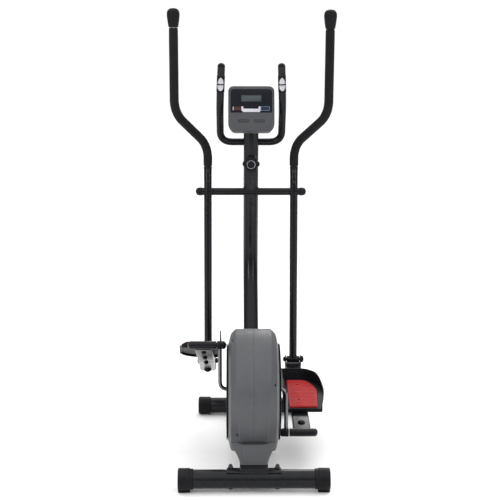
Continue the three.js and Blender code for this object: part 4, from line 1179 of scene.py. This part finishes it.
def build_console():
    front, back = -0.022, -0.00015
    levels = [(back, 0.0012), (back - 0.001, 0.0), (front + 0.008, 0.0)]
    levels += [(front + 0.008 * (1 - math.sin(a)), 0.008 * (1 - math.cos(a))) for a in quarter(6)[1:]]
    bezel = console_shape(console_outline, levels)
    face = softened(
        [(0.077, 0.0775), (-0.077, 0.0775), (-0.0775, -0.0135), (0.0775, -0.0135)],
        [0.014, 0.014, 0.004, 0.004], 8, True,
    )
    lens_height = (CONSOLE_FRAME.inverted() @ middle("console_display")).z
    wells = [console_slab(inset(face, -0.0004), front - 0.01, front + 0.0012, 0.0)]
    buttons = {}
    for node in ("console_button_left", "console_button_right", "console_key_left", "console_key_right"):
        low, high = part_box(node)
        local = CONSOLE_FRAME.inverted() @ ((low + high) / 2)
        width = high.x - low.x
        height = 0.014 if "button" in node else 0.010
        buttons[node] = (local.x, local.z, width, height)
        wells.append(
            console_block(
                local.x, local.z, width + 0.0014, height + 0.0014, 0.0032, front - 0.01, front + 0.0042, 0.0
            )
        )
    window = offset(rounded_box(0.0758, 0.0258, 0.001), 0, lens_height)
    wells.append(console_slab(window, front - 0.01, front + 0.0042, 0.0))
    add_piece(
        "console_bezel", carved(bezel, *wells), "console_grey", stands_for="console_front",
        slot="plastic_grey", sharp=28,
    )
    holes = [console_slab(window, front - 0.02, 0.0, 0.0)]
    for node, (x, z, width, height) in buttons.items():
        if "button" in node:
            holes.append(console_block(x, z, width + 0.001, height + 0.001, 0.0032, front - 0.02, 0.0, 0.0))
    panel = carved(console_slab(face, front + 0.0002, front + 0.0012, 0.0003, 2), *holes)
    add_piece("console_face", panel, "face", sharp=28)
    levels = [(0.00015, 0.0035), (0.0009, 0.0021), (0.004, 0.002)]
    levels += [(0.012 + 0.015 * math.sin(a), 0.003 + 0.016 * (1 - math.cos(a))) for a in quarter(7)]
    shell = console_shape(console_outline, levels)
    add_piece("console_shell", shell, "plastic_grey", stands_for="console_back", sharp=28)
    lens = console_block(0, lens_height, 0.0752, 0.0252, 0.0008, front + 0.0014, front + 0.0040, 0.0003, 2)
    add_piece("display_lens", lens, "display", stands_for="console_display")
    surround = console_block(0, lens_height, 0.084, 0.034, 0.003, front - 0.0002, front + 0.0002, 0.0002, 2)
    add_piece(
        "display_surround", carved(surround, console_slab(window, front - 0.02, 0.0, 0.0)), "plastic_black"
    )
    build_console_trim(front, buttons)
    for node, (x, z, width, height) in buttons.items():
        build_button(node, x, z, width, height, front)


def build_console_trim(front, buttons):
    """The silver bar between the two buttons, with an upright at each end, and the buttons' own edges."""
    level = front + 0.0002

    def strip(x, z, width, height, proud):
        return console_block(x, z, width, height, 0.0013, level - proud, level + 0.0004, 0.0004, 2)

    left, right = buttons["console_button_left"], buttons["console_button_right"]
    upright = left[2] / 2 - 0.051 + 0.0025
    parts = [strip(0, -0.0055, 0.0640, 0.0130, 0.0012)]
    parts += [strip(x, left[1] - 0.001, 0.0072, 0.0172, 0.0016) for x in (upright, -upright - 0.003)]
    parts.append(strip(left[0] - left[2] / 2 - 0.0014, left[1], 0.0026, 0.0135, 0.0008))
    add_piece("console_trim", merged(*parts), "silver")
    x, z, width, height = right
    border = console_block(
        x, z, width + 0.0030, height + 0.0030, 0.0040, level - 0.0008, level + 0.0004, 0.0004, 2
    )
    hole = console_block(x, z, width + 0.0012, height + 0.0012, 0.0034, front - 0.02, 0.0, 0.0)
    add_piece("button_border", carved(border, hole), "pale_blue")


def build_button(node, x, z, width, height, front):
    """A cap with a dished face; a button's cap also gets two raised ribs."""
    outline = rounded_box(width, height, 0.0029, 5)
    levels = [
        (front + 0.0024, 0.0), (front - 0.0007, 0.0), (front - 0.0013, 0.0003), (front - 0.0015, 0.0009),
        (front - 0.0013, 0.0016), (front - 0.0009, 0.0026),
    ]
    cap = console_shape(lambda into: offset(inset(outline, into), x, z), levels)
    ribs = []
    if "button" in node:
        for rise in (-0.0022, 0.0022):
            rib = offset(rounded_box(width * 0.6, 0.0014, 0.0006, 3), x, z + rise)
            ribs.append(console_slab(rib, front - 0.0014, front - 0.0006, 0.0003, 2))
    body = node.removeprefix("console_")
    finish = {
        "console_button_left": "button_red", "console_button_right": "button_blue"
    }.get(node, "key_grey")
    slot = "plastic_black" if finish == "key_grey" else finish
    add_piece(node.replace("console", "cap"), merged(cap, *ribs), finish, body, stands_for=node, slot=slot)


# ---------------------------------------------------------------- swing arms
ARM_X = 0.165
ARM_TUBE = 0.015
GRIP_START = 0.097
HANDLE_START = 0.034
HANDLE_CORNERS = (
    (ARM_X, 0, HANDLE_START), (ARM_X, 0, 0.176), (0.285, -0.130, 0.290), (0.285, -0.175, 0.596)
)


def arm_place(name):
    joint = LOWER_JOINT[name]
    tilt = math.atan2(joint.y - ARM_PIVOT.y, ARM_PIVOT.z - joint.z)
    return Matrix.Translation(ARM_PIVOT) @ Matrix.Rotation(tilt, 4, "X")


def build_arm(name, sign):
    place = arm_place(name)
    length = (ARM_PIVOT - LOWER_JOINT[name]).length
    body = name + "_arm"

    def put(shape):
        return moved(sided(shape, sign), place)

    tube = swept([(ARM_X, 0, -length + 0.009), (ARM_X, 0, GRIP_START - 0.001)], circle(ARM_TUBE, 48), 0.001)
    upper = sleeve(0.1433, 0.187, 0.0086, 0.0144, 0.001, 3)
    lower = sleeve(ARM_X - 0.025, ARM_X + 0.025, 0.0066, 0.013, 0.001, 3)
    bores = [
        cylinder_between((0.1, 0, 0), (0.25, 0, 0), 0.0086),
        cylinder_between((0.1, 0, -length), (0.25, 0, -length), 0.0066),
    ]
    arm = carved(joined(tube, upper, shifted(lower, 0, 0, -length)), *bores)
    add_piece("arm_tube_" + name, put(arm), "paint_black", body, stands_for="lower_arm_" + name)
    collar = swept(
        [(ARM_X, 0, GRIP_START - 0.012), (ARM_X, 0, GRIP_START - 0.002)], circle(0.0158, 48), 0.001
    )
    add_piece("grip_collar_" + name, put(collar), "plastic_black", body)
    bolts = []
    for height in (0.037, 0.078):
        near = Matrix.Translation((ARM_X, -ARM_TUBE + 0.0008, height)) @ Matrix.Rotation(math.pi / 2, 4, "X")
        bolts.append(moved(slab(hexagon(0.0062), 0, 0.0045, 0.0007), near))
        far = [(0, 0), (0, 0.006), (0.0012, 0.0058), (0.0030, 0.0035), (0.0034, 0)]
        bolts.append(moved(turned(far, 24), pointing((0, 1, 0), (ARM_X, ARM_TUBE - 0.0006, height))))
    add_piece("arm_bolts_" + name, put(merged(*bolts)), "dark_steel", body)
    path = rounded_path(HANDLE_CORNERS, 0.052, 24)
    total = path_length(path)
    run = subdivided(stretch_of(path, GRIP_START - HANDLE_START, total - 0.0005), 0.006)
    grip_length = path_length(run)

    def swell(share):
        from_end = min(share, 1 - share) * grip_length
        pinch = 0.05 * math.exp(-from_end / 0.004)
        return 1.0 - pinch + 0.004 * math.sin(share * 46) * math.sin(share * 17 + 1)

    grip = swept(run, circle(0.0168, 40), 0.002, swell=swell)
    foam = add_piece("foam_sleeve_" + name, put(grip), "foam_black", body, stands_for="handle_grip_" + name)
    heading = (path[-1] - path[-2]).normalized()
    profile = [
        (0.0005, 0), (0.0005, 0.0162), (0.0015, 0.0172), (0.008, 0.019), (0.0092, 0.0186), (0.0104, 0.0194)
    ]
    profile += [
        (0.026, 0.0215), (0.040, 0.0233), (0.048, 0.0237), (0.055, 0.0230), (0.061, 0.0206), (0.066, 0.0165),
        (0.0686, 0.011), (0.0697, 0.005), (0.0698, 0),
    ]
    knob = moved(lathe(profile, 0.004, 3, 56), pointing(heading, path[-1]))
    add_piece("end_knob_" + name, put(knob), "plastic_black", body, stands_for="handle_knob_" + name)


# ---------------------------------------------------------------- pedals
# Across, along and up from the crank pin's line along the bar's top tube.
PEDAL_BACK, PEDAL_FRONT = 0.140, 0.418
PEDAL_INNER, PEDAL_HEEL_OUTER, PEDAL_OUTER = 0.110, 0.243, 0.258
PEDAL_UNDER, PEDAL_DECK, PEDAL_WALL = 0.011, 0.0217, 0.0035
PEDAL_FLANGE_TOP, PEDAL_TOE_TOP = 0.080, 0.066


def bar_place(name):
    pin, joint = CRANK_PIN[name], LOWER_JOINT[name]
    tilt = math.atan2(joint.z - pin.z, joint.y - pin.y)
    return Matrix.Translation((0, pin.y, pin.z)) @ Matrix.Rotation(tilt, 4, "X")


def bezier(points, steps):
    a, b, c, d = (Vector(p) for p in points)
    made = []
    for k in range(steps):
        t = k / steps
        made.append(a * (1 - t) ** 3 + b * (3 * t * (1 - t) ** 2) + c * (3 * t * t * (1 - t)) + d * t**3)
    return made


def straight(a, b, steps):
    return [Vector(a).lerp(Vector(b), k / steps) for k in range(steps)]


def tray_outline():
    """The pedal tray from above: straight inside, a square heel, a bulging side and a round outer toe."""
    inner, heel, outer, back, front = PEDAL_INNER, PEDAL_HEEL_OUTER, PEDAL_OUTER, PEDAL_BACK, PEDAL_FRONT
    made = straight((inner + 0.004, back), (heel - 0.006, back), 10)
    made += curve_run(((heel - 0.006, back), (heel, back), (heel + 0.001, back + 0.008)), 6)
    made += bezier(
        (
            (heel + 0.001, back + 0.008), (heel + 0.002, back + 0.070), (outer, back + 0.090),
            (outer, back + 0.150),
        ),
        24,
    )
    made += bezier(
        ((outer, back + 0.150), (outer, front - 0.062), (outer - 0.034, front), (outer - 0.084, front)), 24
    )
    made += straight((outer - 0.084, front), (inner + 0.004, front), 10)
    made += curve_run(((inner + 0.004, front), (inner, front), (inner, front - 0.004)), 4)
    made += straight((inner, front - 0.004), (inner, back + 0.004), 40)
    made += curve_run(((inner, back + 0.004), (inner, back), (inner + 0.004, back)), 4)
    return made


def along_line(y, stops):
    """A height read off a run of (y, height) stops."""
    if y <= stops[0][0]:
        return stops[0][1]
    for (a, low), (b, high) in zip(stops, stops[1:]):
        if y <= b:
            share = (y - a) / (b - a)
            return low + (high - low) * share * share * (3 - 2 * share)
    return stops[-1][1]


def wall_top(p):
    back, front, toe, flange = PEDAL_BACK, PEDAL_FRONT, PEDAL_TOE_TOP - 0.0005, PEDAL_FLANGE_TOP - 0.0005
    rim = PEDAL_DECK + 0.003
    outer = ((back, rim), (back + 0.105, rim + 0.002), (back + 0.165, 0.040), (front - 0.030, toe))
    inner = (
        (back, 0.0275), (back + 0.042, 0.0285), (back + 0.074, flange), (back + 0.120, flange),
        (back + 0.190, toe),
    )
    share = min(1.0, max(0.0, (p[0] - PEDAL_INNER - 0.004) / 0.006))
    return along_line(p[1], inner) * (1 - share) + along_line(p[1], outer) * share


def tray_shape():
    """The tray from the ceiling of its hollow underside, round the skirt and over the rim to the deck."""
    outline = tray_outline()
    tops = [wall_top(p) for p in outline]
    under, deck, wall = PEDAL_UNDER, PEDAL_DECK, PEDAL_WALL
    skirt = [(2 * wall, deck - 0.004), (2 * wall, under + 0.0005), (2 * wall - 0.0005, under)]
    skirt += [(0.0012, under), (0.0003, under + 0.0004), (0.0, under + 0.0014)]
    rim = [
        (0.0, 0.0035), (-0.0006, 0.0028), (-0.0006, 0.0008), (0.0002, 0.0), (wall - 0.0006, 0.0),
        (wall, 0.0009),
    ]
    floor = [(wall, deck + 0.0015), (wall + 0.0005, deck + 0.0004), (wall + 0.0015, deck)]

    def level_ring(into, height):
        return [Vector((p[0], p[1], height)) for p in inset(outline, into)]

    rings = [level_ring(into, height) for into, height in skirt]
    for into, below in rim:
        rings.append([Vector((p[0], p[1], top - below)) for p, top in zip(inset(outline, into), tops)])
    rings += [level_ring(into, height) for into, height in floor]
    return stack(rings)


def pad_outline():
    inner, back, front = PEDAL_INNER + 0.019, PEDAL_BACK + 0.011, PEDAL_FRONT - 0.025
    made = straight((inner + 0.002, back), (0.222, back), 10)
    made += curve_run(((0.222, back), (0.227, back), (0.227, back + 0.006)), 5)
    made += straight((0.227, back + 0.006), (0.234, back + 0.140), 16)
    made += bezier(((0.234, back + 0.140), (0.235, back + 0.165), (0.214, front), (0.186, front)), 20)
    made += straight((0.186, front), (inner + 0.003, front), 8)
    made += curve_run(((inner + 0.003, front), (inner, front), (inner, front - 0.003)), 4)
    made += straight((inner, front - 0.003), (inner, back + 0.002), 16)
    made += curve_run(((inner, back + 0.002), (inner, back), (inner + 0.002, back)), 3)
    return made


PAD_SCREWS = ((0.165, 0.213), (0.165, 0.350))


def width_at(outline, y):
    """The lowest and highest x of an outline at a y."""
    hits = []
    for a, b in zip(outline, outline[1:] + outline[:1]):
        if (a[1] - y) * (b[1] - y) <= 0 and a[1] != b[1]:
            hits.append(a[0] + (b[0] - a[0]) * (y - a[1]) / (b[1] - a[1]))
    return min(hits), max(hits)


def pad_shape():
    bottom = PEDAL_DECK + 0.0003
    top = bottom + 0.0062
    outline = pad_outline()
    body = slab(outline, bottom, top, 0.0014, 3)
    pits = [cylinder_between((x, y, bottom + 0.002), (x, y, top + 0.01), 0.0055, 28) for x, y in PAD_SCREWS]
    parts = [carved(body, *pits)]
    back, front = PEDAL_BACK + 0.022, PEDAL_FRONT - 0.036
    count = 18
    border = 0.007
    for k in range(count):
        y = back + (front - back) * k / (count - 1)
        low, high = width_at(outline, y)
        low, high = low + border, high - border
        steps = 40
        path = []
        for i in range(steps + 1):
            x = low + (high - low) * i / steps
            path.append(Vector((x, y + 0.0013 * math.sin((x - 0.13) / 0.046 * 2 * math.pi), top - 0.0002)))
        runs = [path]
        for sx, sy in PAD_SCREWS:
            if abs(sy - y) < 0.0095:
                runs = [
                    part
                    for run in runs
                    for part in (
                        [p for p in run if p.x < sx - 0.0085], [p for p in run if p.x > sx + 0.0085]
                    )
                ]
        for run in runs:
            parts.append(
                swept(run, [(p[0] * 1.45, p[1]) for p in circle(0.0018, 12)], 0.0008, across=(0, 1, 0))
            )
    loop = inset(outline, 0.0035)
    rim = [Vector((p[0], p[1], top - 0.0003)) for p in loop]
    parts.append(closed_tube(rim, 0.0016))
    return merged(*parts)


def closed_tube(loop, radius, sides=10):
    """A round bead along a level closed line."""
    rings = []
    count = len(loop)
    for i, point in enumerate(loop):
        tangent = (loop[(i + 1) % count] - loop[i - 1]).normalized()
        side = Vector((0, 0, 1)).cross(tangent)
        rings.append([point + side * p[0] + Vector((0, 0, 1)) * p[1] for p in circle(radius, sides)])
    return stack(rings, closed=True)


def build_pedal_bar(name, sign):
    place = bar_place(name)
    body = name + "_pedal_bar"
    length = (LOWER_JOINT[name] - CRANK_PIN[name]).length

    def put(shape):
        return moved(sided(shape, sign), place)

    slope = -math.atan2(0.024, 0.620)
    tip = Matrix.Rotation(slope, 4, "X")
    bar_length, middle_z = length - 0.002, -0.003
    outer = swept(
        [(ARM_X, 0.010, middle_z), (ARM_X, 0.010 + bar_length, middle_z)], rounded_box(0.058, 0.024, 0.005),
        0.0006, across=(1, 0, 0),
    )
    hollow = swept(
        [(ARM_X, 0.015, middle_z), (ARM_X, 0.05 + bar_length, middle_z)], rounded_box(0.053, 0.019, 0.003),
        0, across=(1, 0, 0),
    )
    cross = softened([(0.1215, 0), (0.1215, 0.0133), (0.206, 0.0133)], 0.001, 3)
    cross += dome(0.206, 0.0105, 0.0133, 9)[1:]
    ear_outline = [(length - 0.022, -0.034), (length + 0.016, -0.034)] + arc((length, 0), 0.016, 0, 180, 20)
    ear_outline += [(length - 0.016, -0.010), (length - 0.022, -0.020)]
    ears = [
        moved(slab(ear_outline, ARM_X + s * 0.029 - 0.002, ARM_X + s * 0.029 + 0.002, 0.0006, 2), SIDE_VIEW)
        for s in (-1, 1)
    ]
    bore = cylinder_between((0.1, length, 0), (0.25, length, 0), 0.0066)
    brackets = []
    for y in (PEDAL_BACK + 0.050, PEDAL_FRONT - 0.060):
        outline = [(-0.0285, -0.0250), (0.0285, -0.0250), (0.0285, 0), (-0.0285, 0)]
        block = slab(softened(outline, 0.003, 3, True), y - 0.017, y + 0.017, 0.0008)
        brackets.append(moved(shifted(moved(block, FRONT_VIEW), ARM_X, 0, PEDAL_DECK - 0.0043), tip))
    solid = joined(moved(carved(outer, hollow), tip), turned(cross, 48), *brackets, *ears)
    add_piece("bar_" + name, put(carved(solid, bore)), "paint_black", body, stands_for="pedal_bar_" + name)
    add_piece(
        "tray_" + name, put(moved(tray_shape(), tip)), "plastic_black", body, stands_for="pedal_" + name
    )
    add_piece("pad_" + name, put(moved(pad_shape(), tip)), "pad_red", body, stands_for="pedal_pad_" + name)
    pad_bottom = PEDAL_DECK + 0.0023
    head = [(0, 0), (0, 0.0046), (0.0012, 0.0044), (0.0022, 0.0026), (0.0024, 0)]
    screws = [moved(turned(head, 24), pointing((0, 0, 1), (x, y, pad_bottom))) for x, y in PAD_SCREWS]
    add_piece("pad_screws_" + name, put(moved(merged(*screws), tip)), "dark_steel", body)
    bolts = []
    small, large, knob = (0.0085, 0.0085), (0.0125, 0.0085), (0.0140, 0.0120)
    for up, y, (radius, rise) in (
        (1, 0.058, large),
        (-1, 0.060, small),
        (-1, 0.200, small),
        (-1, 0.345, small),
        (-1, 0.565, knob),
    ):
        head = [(0, 0), (0, radius)] + dome(0.0012, rise - 0.0012, radius, 9)
        place_on_bar = pointing((0, 0, up), (ARM_X, y, middle_z + up * 0.0118))
        bolts.append(moved(moved(turned(head, 32), place_on_bar), tip))
    add_piece("bar_bolts_" + name, put(merged(*bolts)), "plastic_black", body)
    low, high = 0.126, 0.207
    pin = [
        (low, 0), (low, 0.006), (low + 0.002, 0.006), (low + 0.002, 0.010), (ARM_X - 0.0313, 0.010),
        (ARM_X - 0.0313, 0.006),
    ]
    pin += [(ARM_X + 0.0313, 0.006), (ARM_X + 0.0313, 0.013), (0.2005, 0.013)]
    pin += dome(0.2005, high - 0.2005, 0.013, 8)[1:]
    pin = softened(pin[:9], 0.0006, 2) + pin[9:]
    add_piece(
        "joint_bolt_" + name, put(shifted(turned(pin, 40), 0, length, 0)), "plastic_black", body,
        stands_for="lower_joint_bolt_" + name,
    )


# ---------------------------------------------------------------- pieces kept from the frame
def finish_frame_nodes():
    """The inner pieces keep their own shape, with smooth shading and their own finish."""
    kept = {
        "crank_bearing_left": "zinc",
        "crank_bearing_right": "zinc",
        "drive_pulley": "plastic_black",
        "drive_belt": "belt_rubber",
        "flywheel": "cast_iron",
        "flywheel_axle": "zinc",
        "magnet_bracket": "zinc",
        "upper_handle_left": "paint_black",
        "upper_handle_right": "paint_black",
    }
    for node, finish in kept.items():
        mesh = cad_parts[node].data
        mesh.materials.clear()
        mesh.materials.append(FINISH[finish])
        mesh.polygons.foreach_set("use_smooth", [True] * len(mesh.polygons))
        mesh.set_sharp_from_angle(angle=math.radians(30))


FINISH = make_finishes()
set_camera()
set_studio()
bpy.context.scene.view_settings.view_transform = "Standard"
build_main_frame()
build_base()
build_housing()
build_tail_cover()
build_crank()
build_post()
build_pivot()
build_pulse_bar()
build_tension_knob()
build_console()
for side_name, side_sign in SIDES:
    build_arm(side_name, side_sign)
    build_pedal_bar(side_name, side_sign)
finish_frame_nodes()
